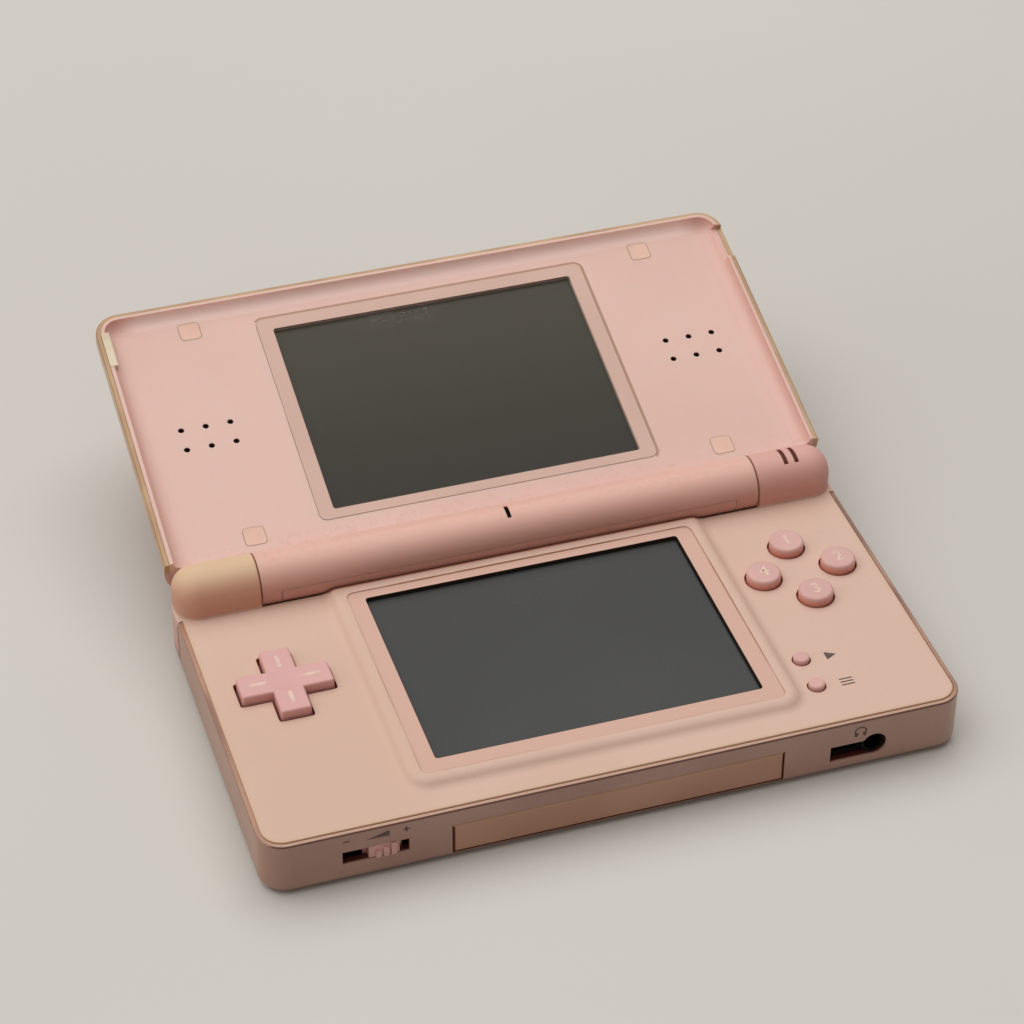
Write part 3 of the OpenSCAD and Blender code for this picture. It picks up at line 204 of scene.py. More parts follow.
HALF_WIDTH = 0.0665
HALF_DEPTH = 0.03695
CASE_CORNER = 0.005
LEFT = -HALF_WIDTH
FRONT = -HALF_DEPTH
DECK = 0.012
# the clear edge starts this far below the deck
EDGE_DEPTH = 0.0006
# no opening's wall shows below this height
UNDERSIDE = 0.0009


def maths(tree, operation, *values, clamp=False):
    """Numbers or outputs, worked with one operation."""
    node = add(tree, "ShaderNodeMath", dict(enumerate(values)), operation=operation, use_clamp=clamp)
    return node.outputs[0]


def vectors(tree, operation, *values):
    """Points or outputs, worked with one operation."""
    node = add(tree, "ShaderNodeVectorMath", dict(enumerate(values)), operation=operation)
    return node.outputs["Value" if operation in ("LENGTH", "DOT_PRODUCT") else "Vector"]


def split(tree, point):
    """The point's X, Y and Z."""
    node = add(tree, "ShaderNodeSeparateXYZ", {"Vector": point})
    return node.outputs["X"], node.outputs["Y"], node.outputs["Z"]


def meet(tree, *masks):
    """Where all the masks meet: their product. A number among them thins the result."""
    result = masks[0]
    for mask in masks[1:]:
        result = maths(tree, "MULTIPLY", result, mask)
    return result


def give(material, *names):
    """Puts one material on whole CAD nodes."""
    for name in names:
        mesh = nodes[name].data
        mesh.materials.clear()
        mesh.materials.append(material)


# The fine grain that a mould leaves in plastic: a height for a Bump, and a mask of its hollows.
grain, given, put = effect("mould_grain", [("Point", "Vector", None), ("Grains", "Float", 4000.0)],
                           [("Height", "Float"), ("Hollows", "Float")])
pits = add(grain, "ShaderNodeTexNoise", {"Vector": given["Point"], "Scale": given["Grains"],
                                         "Detail": 3.0, "Roughness": 0.6})
grain.links.new(pits.outputs["Fac"], put["Height"])
grain.links.new(fade(grain, pits.outputs["Fac"], 0.46, 0.3), put["Hollows"])


def relief(tree, shader, point, grains, strength, depth):
    """Gives the shader the fine grain of its mould, and returns the mask of the hollows."""
    pits = apply_effect(tree, grain, {"Point": point, "Grains": grains})
    node = add(tree, "ShaderNodeBump", {"Height": pits["Height"], "Strength": strength, "Distance": depth})
    tree.links.new(node.outputs["Normal"], shader.inputs["Normal"])
    return pits["Hollows"]


# A line that follows a rectangle with round corners, seen along Z, and what lies inside it.
outline, given, put = effect("outline", [("Point", "Vector", None), ("Centre", "Vector", None),
                                         ("Half Size", "Vector", None), ("Corner", "Float", 0.0015),
                                         ("Width", "Float", 0.0002)],
                             [("Line", "Float"), ("Inside", "Float"), ("Distance", "Float")])
reach = vectors(outline, "ABSOLUTE", vectors(outline, "SUBTRACT", given["Point"], given["Centre"]))
corner = add(outline, "ShaderNodeCombineXYZ", {"X": given["Corner"], "Y": given["Corner"]}).outputs[0]
past = vectors(outline, "SUBTRACT", reach, vectors(outline, "SUBTRACT", given["Half Size"], corner))
past = vectors(outline, "MULTIPLY", past, (1, 1, 0))
past_x, past_y, _ = split(outline, past)
out = vectors(outline, "LENGTH", vectors(outline, "MAXIMUM", past, (0, 0, 0)))
inner = maths(outline, "MINIMUM", maths(outline, "MAXIMUM", past_x, past_y), 0.0)
distance = maths(outline, "SUBTRACT", maths(outline, "ADD", out, inner), given["Corner"])
half_line = maths(outline, "MULTIPLY", given["Width"], 0.5)
off = maths(outline, "SUBTRACT", maths(outline, "ABSOLUTE", distance), half_line)
# both fade over less than a tenth of a millimetre
outline.links.new(fade(outline, off, 0.00005, -0.00003), put["Line"])
outline.links.new(fade(outline, distance, 0.00004, -0.00004), put["Inside"])
outline.links.new(distance, put["Distance"])

shell_finish, tree, shader, point = new_finish("clear_over_mauve", Roughness=0.42, Coat_Weight=0.35,
                                               Coat_Roughness=0.18)
skin = mottled(tree, point, 45.0, (163, 122, 109), (172, 132, 118))
hollows = relief(tree, shader, point, 3200.0, 0.25, 0.00006)
skin = blend_colour(tree, meet(tree, hollows, 0.35), skin, paint(140, 102, 92))
sideways, along, high = split(tree, point)
# the left side is tinted browner
left_side_tint = fade(tree, sideways, LEFT + 0.0012, LEFT + 0.0004)
skin = blend_colour(tree, meet(tree, left_side_tint, 0.6), skin, paint(166, 120, 90))
side = apply_effect(tree, outline, {"Point": point, "Half Size": (HALF_WIDTH, HALF_DEPTH, 0),
                                    "Corner": CASE_CORNER})["Distance"]
# the clear top edge: a tan lip at the front, browner along the sides, with a dark outer arris
at_front = fade(tree, along, FRONT + 0.0015, FRONT + 0.0008)
top = fade(tree, high, DECK - EDGE_DEPTH - 0.0001, DECK - EDGE_DEPTH + 0.0001)
arris = blend_colour(tree, at_front, paint(158, 116, 96), paint(104, 62, 52))
skin = blend_colour(tree, top, skin, arris)
flat_top = meet(tree, top, fade(tree, side, -0.00014, -0.00024))
edge_tone = mottled(tree, point, 70.0, (132, 88, 72), (170, 124, 102))
edge_tone = blend_colour(tree, at_front, edge_tone, paint(180, 142, 119))
skin = blend_colour(tree, flat_top, skin, edge_tone)
# painted shade: the walls of the openings are painted dark brown, where no light reaches them
inside = meet(tree, fade(tree, side, -0.0002, -0.00045), fade(tree, high, UNDERSIDE, UNDERSIDE + 0.0003),
              fade(tree, high, DECK - 0.0012, DECK - 0.0015))
skin = blend_colour(tree, inside, skin, paint(98, 48, 40))
tree.links.new(skin, shader.inputs["Base Color"])
give(shell_finish, "lower_case", "battery_cover", "power_slider")

# ---------------------------------------------------------------------------
# Parts inside the case and the lid
# Boards, sockets, membranes, springs, screws and their plugs. Most show only
# through the openings, and each has the finish of its own stuff.
# ---------------------------------------------------------------------------


def simple_finish(name, dark, light, patches, grains, rough, metal=0.0, strength=0.15, shine=0.5):
    """A finish of two near tones and one fine grain."""
    material, tree, shader, point = new_finish(name, Roughness=rough, Metallic=metal,
                                               Specular_IOR_Level=shine)
    colour = mottled(tree, point, patches, dark, light)
    tree.links.new(colour, shader.inputs["Base Color"])
    relief(tree, shader, point, grains, strength, 0.00005)
    return material


give(simple_finish("black_moulding", (24, 22, 22), (34, 32, 32), 200.0, 3000.0, 0.5),
     "charge_socket", "cartridge_slot", "speakers", "volume_switch", "power_switch", "microphone")
give(simple_finish("black_socket", (9, 8, 8), (13, 12, 12), 200.0, 3000.0, 0.8, shine=0.2),
     "headphone_socket")
give(simple_finish("battery_film", (44, 46, 52), (58, 60, 66), 90.0, 2500.0, 0.45), "battery")
give(simple_finish("green_board", (24, 92, 58), (38, 112, 74), 500.0, 2400.0, 0.4),
     "main_board", "wireless_module")
give(simple_finish("display_frame", (58, 59, 60), (84, 85, 87), 80.0, 4000.0, 0.35, metal=0.6),
     "lower_display")
give(simple_finish("natural_plastic", (206, 200, 190), (222, 217, 208), 120.0, 3000.0, 0.5),
     "hinge_bush", "pad_nub")
give(simple_finish("pink_silicone", (150, 100, 88), (164, 112, 98), 90.0, 1800.0, 0.7),
     "direction_membrane", "face_button_membrane", "menu_button_membrane")
give(simple_finish("zinc_steel", (150, 150, 152), (196, 197, 200), 900.0, 5000.0, 0.32, metal=1.0),
     "card_slot", "case_screws", "battery_cover_screw", "hinge_clutch", "hinge_shaft", "shoulder_pins",
     "shoulder_springs", "lid_screws")
give(simple_finish("pink_rubber", (160, 118, 108), (172, 130, 120), 150.0, 1600.0, 0.75), "screw_plugs")
give(simple_finish("dark_light_pipe", (84, 42, 34), (94, 50, 40), 300.0, 2000.0, 0.5, shine=0.1),
     "status_lights")
give(simple_finish("amber_ribbon", (176, 112, 50), (196, 132, 66), 300.0, 2000.0, 0.35), "display_cable")

# ---------------------------------------------------------------------------
# Deck
# One moulding in a matt peach pink, with the plateau round the lower screen and
# the two hinge knuckles. Handling has left brown lines in its corners.
# ---------------------------------------------------------------------------

# the deck stands this far inside the case, all round, and its yellowed lip is this wide
DECK_INSET = 0.001
LIP_WIDTH = 0.0009
PLATEAU = 0.0133
BEZEL_Y = -0.0018
BEZEL_HALF = (0.0347, 0.0261, 0)
BEZEL_CORNER = 0.0016
SCREEN_HALF = (0.0313, 0.0233, 0)
SCREEN_CORNER = 0.0006
LOWER_SCREEN_Y = -0.00115
# where the hinge trough begins, and the knuckles' front and inner ends
TROUGH_Y = 0.0275
KNUCKLE_Y = 0.0261
KNUCKLE_X = 0.0502
# where the painted shade on their fronts gives way to their lit crests, on a direction that leans from
# straight up to the rear
KNUCKLE_LOW = 0.0258
KNUCKLE_CREST = 0.0312

# Small marks of wear: sparse specks where a fine and a broad noise both run high.
specks, given, put = effect("specks", [("Point", "Vector", None), ("Size", "Float", 900.0),
                                       ("Spread", "Float", 0.62)], [("Mask", "Float")])
fine = add(specks, "ShaderNodeTexNoise", {"Vector": given["Point"], "Scale": given["Size"], "Detail": 1.0})
broad = add(specks, "ShaderNodeTexNoise", {"Vector": given["Point"], "Scale": 55.0, "Detail": 1.0})
both = maths(specks, "ADD", maths(specks, "MULTIPLY", fine.outputs["Fac"], 0.75),
             maths(specks, "MULTIPLY", broad.outputs["Fac"], 0.25))
over = maths(specks, "SUBTRACT", both, given["Spread"])
specks.links.new(maths(specks, "MULTIPLY", over, 60.0, clamp=True), put["Mask"])

deck_finish, tree, shader, point = new_finish("matt_peach", Roughness=0.58, Specular_IOR_Level=0.35)
skin = mottled(tree, point, 26.0, (211, 178, 161), (215, 182, 167))
sideways, along, high = split(tree, point)
# a warmer, yellower lip round the deck's edge, widest at the front
deck_half = (HALF_WIDTH - DECK_INSET, HALF_DEPTH - DECK_INSET, 0)
rim = apply_effect(tree, outline, {"Point": point, "Half Size": deck_half,
                                   "Corner": CASE_CORNER - DECK_INSET})["Distance"]
lip = meet(tree, fade(tree, rim, -LIP_WIDTH, -0.0001), fade(tree, along, TROUGH_Y, TROUGH_Y - 0.0007), 0.6)
skin = blend_colour(tree, lip, skin, paint(208, 176, 146))
# painted shade: the walls of the openings are painted dark red-brown, and the groove between the deck and the
# clear edge a pale tan
sunk = meet(tree, fade(tree, high, DECK - 0.0002, DECK - 0.0003),
            fade(tree, along, TROUGH_Y, TROUGH_Y - 0.0002))
groove = fade(tree, rim, -LIP_WIDTH, -0.0005)
gap_shade_tone = blend_colour(tree, groove, paint(140, 72, 54), paint(212, 166, 138))
skin = blend_colour(tree, sunk, skin, gap_shade_tone)
# pinker plastic in the sunk bezel
bezel = apply_effect(tree, outline, {"Point": point, "Centre": (0, BEZEL_Y, 0), "Half Size": BEZEL_HALF,
                                     "Corner": BEZEL_CORNER, "Width": 0.00022})
on_plateau = fade(tree, high, PLATEAU - 0.0006, PLATEAU - 0.0004)
skin = blend_colour(tree, meet(tree, bezel["Inside"], on_plateau), skin, paint(211, 172, 157))
# painted shade: the walls of the screen's opening are painted near black
opening = apply_effect(tree, outline, {"Point": point, "Centre": (0, LOWER_SCREEN_Y, 0),
                                       "Half Size": SCREEN_HALF, "Corner": SCREEN_CORNER})["Distance"]
screen_wall_shade = meet(tree, fade(tree, opening, 0.00008, 0.00003), fade(tree, high, PLATEAU + 0.001, PLATEAU))
skin = blend_colour(tree, screen_wall_shade, skin, paint(44, 30, 22))
# dirt has gathered in patches along the line round the bezel
dirt = add(tree, "ShaderNodeTexNoise", {"Vector": point, "Scale": 60.0, "Detail": 2.0}).outputs["Fac"]
dirty = meet(tree, bezel["Line"], on_plateau, fade(tree, dirt, 0.35, 0.6), 0.7)
skin = blend_colour(tree, dirty, skin, paint(172, 126, 96))
# the knuckles: painted shade darkens their fronts below the crest; the left one is also yellowed on top, the
# right one pinker
knuckle = meet(tree, fade(tree, high, DECK + 0.0002, DECK + 0.0008),
               fade(tree, along, KNUCKLE_Y - 0.0003, KNUCKLE_Y + 0.0003))
leaning = maths(tree, "ADD", high, maths(tree, "MULTIPLY", along, 0.35))
lit_and_yellowed_crest = fade(tree, leaning, KNUCKLE_LOW, KNUCKLE_CREST)
right_knuckle_shade = blend_colour(tree, lit_and_yellowed_crest, paint(207, 151, 140), paint(216, 167, 157))
skin = blend_colour(tree, knuckle, skin, right_knuckle_shade)
left_knuckle_yellow_and_shade = blend_colour(tree, lit_and_yellowed_crest, paint(203, 150, 128), paint(216, 184, 153))
on_left = meet(tree, knuckle, fade(tree, sideways, 0.0007 - KNUCKLE_X, -KNUCKLE_X))
skin = blend_colour(tree, on_left, skin, left_knuckle_yellow_and_shade)
# golden brown dirt at the knuckles' inner ends
end = fade(tree, maths(tree, "ABSOLUTE", sideways), KNUCKLE_X + 0.00032, KNUCKLE_X + 0.00008)
skin = blend_colour(tree, meet(tree, knuckle, end, 0.8), skin, paint(158, 96, 52))
wear = apply_effect(tree, specks, {"Point": point, "Size": 1300.0, "Spread": 0.67})["Mask"]
skin = blend_colour(tree, meet(tree, wear, 0.12), skin, paint(196, 150, 124))
tree.links.new(skin, shader.inputs["Base Color"])
relief(tree, shader, point, 5200.0, 0.12, 0.00004)
give(deck_finish, "upper_case")

# ---------------------------------------------------------------------------
# Touch panel over the lower display
# A dark display under a matt film that scatters the light, with a black border.
# ---------------------------------------------------------------------------

# the part of the display that lights up, inside its black border
ACTIVE_HALF = (0.0311, 0.0231, 0)

film_finish, tree, shader, point = new_finish("matt_screen_film", Roughness=0.3, Specular_IOR_Level=0.2)
glass = mottled(tree, point, 20.0, (56, 57, 58), (60, 61, 61))
active = apply_effect(tree, outline, {"Point": point, "Centre": (0, LOWER_SCREEN_Y, 0),
                                      "Half Size": ACTIVE_HALF, "Corner": SCREEN_CORNER})["Inside"]
glass = blend_colour(tree, active, paint(22, 21, 21), glass)
dust = apply_effect(tree, specks, {"Point": point, "Size": 1500.0, "Spread": 0.66})["Mask"]
glass = blend_colour(tree, meet(tree, dust, 0.08), glass, paint(110, 108, 104))
tree.links.new(glass, shader.inputs["Base Color"])
relief(tree, shader, point, 9000.0, 0.06, 0.00002)
give(film_finish, "touch_panel")

# ---------------------------------------------------------------------------
# Direction pad, face buttons and menu buttons
# Each is moulded in a rose pink with a satin skin, a shade pinker than the deck,
# and polished on top by the thumb. Their sides carry painted shade and glow.
# ---------------------------------------------------------------------------

BUTTON_TOP = 0.0139
MENU_TOP = 0.0129
PAD = Vector((-0.05175, 0.0036, 0))
# the middle of the four face buttons, and how far each stands from it
FACE = Vector((0.05085, 0.0059, 0))
FACE_REACH = 0.00764
FACE_BUTTONS = ["face_button_rear", "face_button_right", "face_button_front", "face_button_left"]
# the front one of the two menu buttons, and how far the rear one stands behind it
MENU = Vector((0.04135, -0.0258, 0))
MENU_PITCH = 0.00765
MENU_RADIUS = 0.002

button_finish, tree, shader, point = new_finish("satin_rose", Roughness=0.42, Specular_IOR_Level=0.45,
                                                Subsurface_Weight=0.15, Subsurface_Scale=0.001)
skin = mottled(tree, point, 130.0, (210, 165, 160), (214, 171, 165))
sideways, along, high = split(tree, point)
# the menu buttons stand lower than the others, which is made up for here
menu_right = MENU.x + MENU_RADIUS
menu_rear = MENU.y + MENU_PITCH + MENU_RADIUS
at_menu = meet(tree, fade(tree, sideways, menu_right + 0.0002, menu_right - 0.0002),
               fade(tree, along, menu_rear + 0.0002, menu_rear - 0.0002), fade(tree, sideways, 0, 0.001))
raised = maths(tree, "ADD", high, maths(tree, "MULTIPLY", at_menu, BUTTON_TOP - MENU_TOP))
# painted shade and glow: the sides are painted redder toward their foot, standing in for light that comes
# through the plastic
low = fade(tree, raised, BUTTON_TOP - 0.0003, BUTTON_TOP - 0.0016)
skin = blend_colour(tree, low, skin, paint(216, 138, 122))
# the pad, on the left, is a shade pinker
on_pad = meet(tree, fade(tree, sideways, 0, -0.001), 0.7)
skin = blend_colour(tree, on_pad, skin, paint(217, 164, 163))
tree.links.new(skin, shader.inputs["Base Color"])
relief(tree, shader, point, 4200.0, 0.1, 0.00004)
give(button_finish, "direction_pad", "menu_button_rear", "menu_button_front", *FACE_BUTTONS)

# ---------------------------------------------------------------------------
# Printed marks on the pad and the face buttons
# Pale inlaid strokes: one dash on each arm of the pad and a plain numeral on
# each face button. They are a few hundredths of a millimetre thick and worn.
# ---------------------------------------------------------------------------

# how far the inlays stand over the buttons, and sink into them
INLAY_LIFT = 0.00002
DASH_REACH = 0.0051
DASH_LENGTH = 0.0033
DASH_WIDTH = 0.00075
NUMERAL_SIZE = 0.0038
NUMERAL_SPREAD = 0.00006

pale_ink, tree, shader, point = new_finish("worn_pale_inlay", Roughness=0.5)
worn = add(tree, "ShaderNodeTexNoise", {"Vector": point, "Scale": 900.0, "Detail": 2.0}).outputs["Fac"]
colour = blend_colour(tree, fade(tree, worn, 0.42, 0.62), paint(228, 196, 182), paint(220, 184, 172))
tree.links.new(colour, shader.inputs["Base Color"])


def settle(piece, name, material, body):
    """Applies a piece's place, names it, gives it its finish and fixes it to its body."""
    bpy.ops.object.transform_apply(location=True, rotation=True, scale=True)
    piece.name = name
    piece.data.name = name
    piece.data.materials.clear()
    piece.data.materials.append(material)
    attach(piece, body)


def start_mesh():
    """Deselects all, so that the next operator works on the new piece alone."""
    if bpy.context.object and bpy.context.object.mode != "OBJECT":
        bpy.ops.object.mode_set(mode="OBJECT")
    bpy.ops.object.select_all(action="DESELECT")


def stroke(place, length, width, depth, angle):
    """A flat stroke with round ends, lying on a level surface."""
    start_mesh()
    bpy.ops.mesh.primitive_cube_add(size=1, location=place, rotation=(0, 0, angle))
    piece = bpy.context.object
    piece.scale = (length, width, depth)
    bpy.ops.object.transform_apply(location=False, rotation=False, scale=True)
    ends = piece.modifiers.new("ends", "BEVEL")
    ends.width = width * 0.45
    ends.segments = 4
    ends.limit_method = "WEIGHT"
    weights = piece.data.attributes.new("bevel_weight_edge", "FLOAT", "EDGE")
    for edge in piece.data.edges:
        a, b = (piece.data.vertices[i].co for i in edge.vertices)
        weights.data[edge.index].value = 1.0 if abs(a.z - b.z) > depth / 2 else 0.0
    bpy.ops.object.modifier_apply(modifier=ends.name)
    return piece


for index in range(4):
    angle = index * math.pi / 2
    place = PAD + Vector((math.cos(angle), math.sin(angle), 0)) * DASH_REACH
    dash = stroke((place.x, place.y, BUTTON_TOP), DASH_LENGTH, DASH_WIDTH, 2 * INLAY_LIFT, angle)
    settle(dash, f"pad_dash_{index + 1}", pale_ink, "direction_pad")

for index, name in enumerate(FACE_BUTTONS):
    angle = math.pi / 2 - index * math.pi / 2
    place = FACE + Vector((math.cos(angle), math.sin(angle), 0)) * FACE_REACH
    start_mesh()
    bpy.ops.object.text_add(location=(place.x, place.y, BUTTON_TOP))
    numeral = bpy.context.object
    numeral.data.body = str(index + 1)
    numeral.data.size = NUMERAL_SIZE
    numeral.data.align_x = "CENTER"
    numeral.data.align_y = "CENTER"
    numeral.data.extrude = INLAY_LIFT
    numeral.data.offset = NUMERAL_SPREAD
    bpy.ops.object.convert(target="MESH")
    settle(bpy.context.object, f"numeral_{index + 1}", pale_ink, name)

# ---------------------------------------------------------------------------
# Printed signs on the deck and the front
# Dark brown ink: a triangle and three bars beside the menu buttons, a minus, a
# rising wedge and a plus over the volume slot, and a headset over its socket.
# ---------------------------------------------------------------------------

# how far the ink stands over the plastic
INK_LIFT = 0.00001
START_SIGN = Vector((0.0471, MENU.y + MENU_PITCH - 0.0003, DECK))
START_LENGTH = 0.0021
START_HEIGHT = 0.0022
MENU_SIGN = Vector((0.0472, MENU.y - 0.0004, DECK))
BAR_LENGTH = 0.0026
BAR_WIDTH = 0.00032
BAR_PITCH = 0.0008
VOLUME_Z = 0.00992
MINUS_X = -0.05134
WEDGE_X = -0.0457
PLUS_X = -0.04042
WEDGE_LENGTH = 0.0044
WEDGE_HEIGHT = 0.0013
SIGN_LENGTH = 0.00125
SIGN_WIDTH = 0.0003

brown_ink, tree, shader, point = new_finish("brown_ink", Roughness=0.55)
worn = add(tree, "ShaderNodeTexNoise", {"Vector": point, "Scale": 2600.0, "Detail": 2.0}).outputs["Fac"]
colour = blend_colour(tree, fade(tree, worn, 0.5, 0.7), paint(84, 60, 55), paint(110, 82, 75))
tree.links.new(colour, shader.inputs["Base Color"])


def join(pieces):
    """Makes one piece of several."""
    start_mesh()
    for piece in pieces:
        piece.select_set(True)
    bpy.context.view_layer.objects.active = pieces[0]
    bpy.ops.object.join()
    return bpy.context.object


POINTED = ((-0.5, -0.5), (0.5, 0.0), (-0.5, 0.5))
RISING = ((-0.5, -0.5), (0.5, -0.5), (0.5, 0.5))


def triangle(centre, corners, length, height, upright=False):
    """A flat triangle with corners given in a unit square, on the deck or upright on the front."""
    start_mesh()
    bpy.ops.mesh.primitive_cylinder_add(vertices=3, radius=1, depth=1, end_fill_type="NGON")
    piece = bpy.context.object
    ring = sorted(piece.data.vertices, key=lambda v: (v.co.z, math.atan2(v.co.y, v.co.x)))
    order = sorted(corners, key=lambda c: math.atan2(c[1], c[0]))
    for index, vertex in enumerate(ring):
        x, y = order[index % 3]
        vertex.co = (x * length, y * height, (INK_LIFT if vertex.co.z > 0 else -INK_LIFT))
    if upright:
        piece.rotation_euler = (math.pi / 2, 0, 0)
    piece.location = centre
    bpy.ops.object.mode_set(mode="EDIT")
    bpy.ops.mesh.select_all(action="SELECT")
    bpy.ops.mesh.normals_make_consistent(inside=False)
    bpy.ops.object.mode_set(mode="OBJECT")
    bpy.ops.object.transform_apply(location=True, rotation=True, scale=True)
    return piece


settle(triangle(START_SIGN, POINTED, START_LENGTH, START_HEIGHT), "start_sign", brown_ink, "base")
bars = [stroke(MENU_SIGN + Vector((0, step * BAR_PITCH, 0)), BAR_LENGTH, BAR_WIDTH, 2 * INK_LIFT, 0)
        for step in (-1, 0, 1)]
settle(join(bars), "menu_sign", brown_ink, "base")


def upright_stroke(x, z, length, width, angle=0.0):
    """The same stroke, lying on the front of the case."""
    piece = stroke((0, 0, 0), length, width, 2 * INK_LIFT, angle)
    bpy.ops.object.transform_apply(location=False, rotation=True, scale=False)
    piece.rotation_euler = (math.pi / 2, 0, 0)
    piece.location = (x, FRONT, z)
    bpy.ops.object.transform_apply(location=True, rotation=True, scale=True)
    return piece


settle(upright_stroke(MINUS_X, VOLUME_Z, SIGN_LENGTH, SIGN_WIDTH), "minus_sign", brown_ink, "base")
plus = [upright_stroke(PLUS_X, VOLUME_Z, SIGN_LENGTH, SIGN_WIDTH, angle) for angle in (0.0, math.pi / 2)]
settle(join(plus), "plus_sign", brown_ink, "base")
rising_wedge = triangle((WEDGE_X, FRONT, VOLUME_Z), RISING, WEDGE_LENGTH, WEDGE_HEIGHT, upright=True)
settle(rising_wedge, "volume_sign", brown_ink, "base")

# the headset: a round bow, open below, and two thick pads that curve in under it
HEADSET = Vector((0.0457, FRONT, 0.0091))
BOW_RADIUS = 0.0011
BOW_WIRE = 0.00017
BOW_FLATTENED = 0.08
BOW_BOTTOM = -0.0005
EAR_OUT = 0.00078
EAR_DOWN = 0.00058
EAR_LENGTH = 0.00105
EAR_WIDTH = 0.0006
EAR_LEAN = 0.4

start_mesh()
bpy.ops.mesh.primitive_torus_add(major_radius=BOW_RADIUS, minor_radius=BOW_WIRE, major_segments=48,
                                 minor_segments=6, rotation=(math.pi / 2, 0, 0))
bow = bpy.context.object
bpy.ops.object.transform_apply(location=False, rotation=True, scale=False)
bpy.ops.object.mode_set(mode="EDIT")
bpy.ops.mesh.select_all(action="SELECT")
bpy.ops.mesh.bisect(plane_co=(0, 0, BOW_BOTTOM), plane_no=(0, 0, 1), clear_inner=True, use_fill=True)
bpy.ops.object.mode_set(mode="OBJECT")
bow.scale = (1, BOW_FLATTENED, 1)
bow.location = HEADSET
bpy.ops.object.transform_apply(location=True, rotation=True, scale=True)
ears = [upright_stroke(HEADSET.x + side * EAR_OUT, HEADSET.z - EAR_DOWN, EAR_LENGTH, EAR_WIDTH,
                       math.pi / 2 + side * EAR_LEAN) for side in (-1, 1)]
settle(join([bow] + ears), "headset_sign", brown_ink, "base")

# ---------------------------------------------------------------------------
# Volume thumb piece, stylus, shoulder buttons and dust cover
# Loose mouldings of the same family: the thumb piece is the palest, the dust
# cover and the shoulder buttons have a tan cast.
# ---------------------------------------------------------------------------

COVER_LEFT = -0.03185
COVER_TOP = 0.00785

give(simple_finish("pale_rose", (205, 152, 149), (213, 163, 159), 150.0, 3600.0, 0.4), "volume_slider")
give(simple_finish("stylus_rose", (214, 168, 160), (222, 178, 170), 90.0, 3600.0, 0.35), "stylus")
give(simple_finish("shoulder_rose", (200, 152, 138), (210, 162, 148), 80.0, 3200.0, 0.4),
     "shoulder_button_left", "shoulder_button_right")

cover_finish, tree, shader, point = new_finish("tan_cover", Roughness=0.5)
skin = mottled(tree, point, 50.0, (176, 130, 108), (184, 138, 116))
sideways, along, high = split(tree, point)
# its left end wears a dark red-brown strip
strip = fade(tree, sideways, COVER_LEFT + 0.00042, COVER_LEFT + 0.00032)
skin = blend_colour(tree, strip, skin, paint(112, 58, 46))
# the bevelled top edge has yellowed
edge = meet(tree, fade(tree, high, COVER_TOP - 0.00035, COVER_TOP),
            fade(tree, along, FRONT + 0.001, FRONT + 0.0006))
skin = blend_colour(tree, edge, skin, paint(212, 170, 140))
tree.links.new(skin, shader.inputs["Base Color"])
relief(tree, shader, point, 3600.0, 0.15, 0.00005)
give(cover_finish, "dust_cover")

# ---------------------------------------------------------------------------
# Lid: inner cover and barrel cover
# One light pink moulding, satin, with a hollow cove up to the rim and the barrel
# of the hinge. Its cove and its barrel carry painted light and shade.
# ---------------------------------------------------------------------------

# the hinge axis, and how far the open lid is tilted up
AXIS_Y = 0.03175
AXIS_Z = 0.0148
LID_TILT = math.radians(15)
# what follows is in the lid's own flat frame: heights of the face and of the rim's crest
FACE_Z = 0.0004
RIM_Z = 0.0026
BARREL_R = 0.0052
WINDOW_Y = 0.03615
WINDOW_HALF = (0.03445, 0.02595, 0)
WINDOW_CORNER = 0.0015
WINDOW_FAR = WINDOW_Y + WINDOW_HALF[1]
# where the cove leaves the face, at the sides and along the far edge
COVE_X = 0.0585
COVE_Y = 0.0636
CAP_X = 0.0478
CAP_YS = (0.00975, 0.06235)
CAP_HALF = (0.0021, 0.0021, 0)
CAP_CORNER = 0.0008
# the barrel's crest is worn between these two places
WORN_NEAR = 0.001
WORN_FAR = 0.0075


def lid_point(tree, point):
    """The point in the lid's own flat frame: Y away from the hinge axis, Z to the inner side."""
    return add(tree, "ShaderNodeMapping", {"Vector": point, "Location": (0, AXIS_Y, AXIS_Z),
                                           "Rotation": (LID_TILT, 0, 0)},
               vector_type="TEXTURE").outputs["Vector"]


lid_finish, tree, shader, point = new_finish("satin_light_pink", Roughness=0.45, Specular_IOR_Level=0.4,
                                             Subsurface_Weight=0.3, Subsurface_Scale=0.003)
flat = lid_point(tree, point)
skin = mottled(tree, flat, 20.0, (223, 183, 173), (227, 188, 178))
sideways, away, level = split(tree, flat)
outward = maths(tree, "ABSOLUTE", sideways)
beyond = fade(tree, away, BARREL_R + 0.0004, BARREL_R + 0.0014)
# painted light: the cove is painted much lighter along the far edge, and on the face strip at its foot,
# against its shade; at the sides it is painted pinker
cove_light = fade(tree, level, FACE_Z + 0.00002, FACE_Z + 0.0009)
foot = maths(tree, "MAXIMUM", meet(tree, fade(tree, outward, COVE_X, COVE_X + 0.0043), 0.3),
             fade(tree, away, COVE_Y, COVE_Y + 0.002))
cove_light = meet(tree, maths(tree, "MAXIMUM", cove_light, foot), beyond,
            fade(tree, level, RIM_Z - 0.00005, RIM_Z - 0.0003), 0.95)
at_sides = fade(tree, outward, COVE_X - 0.0015, COVE_X + 0.0045)
cove_light_tone = blend_colour(tree, at_sides, paint(255, 216, 209), paint(224, 177, 166))
skin = blend_colour(tree, cove_light, skin, cove_light_tone)
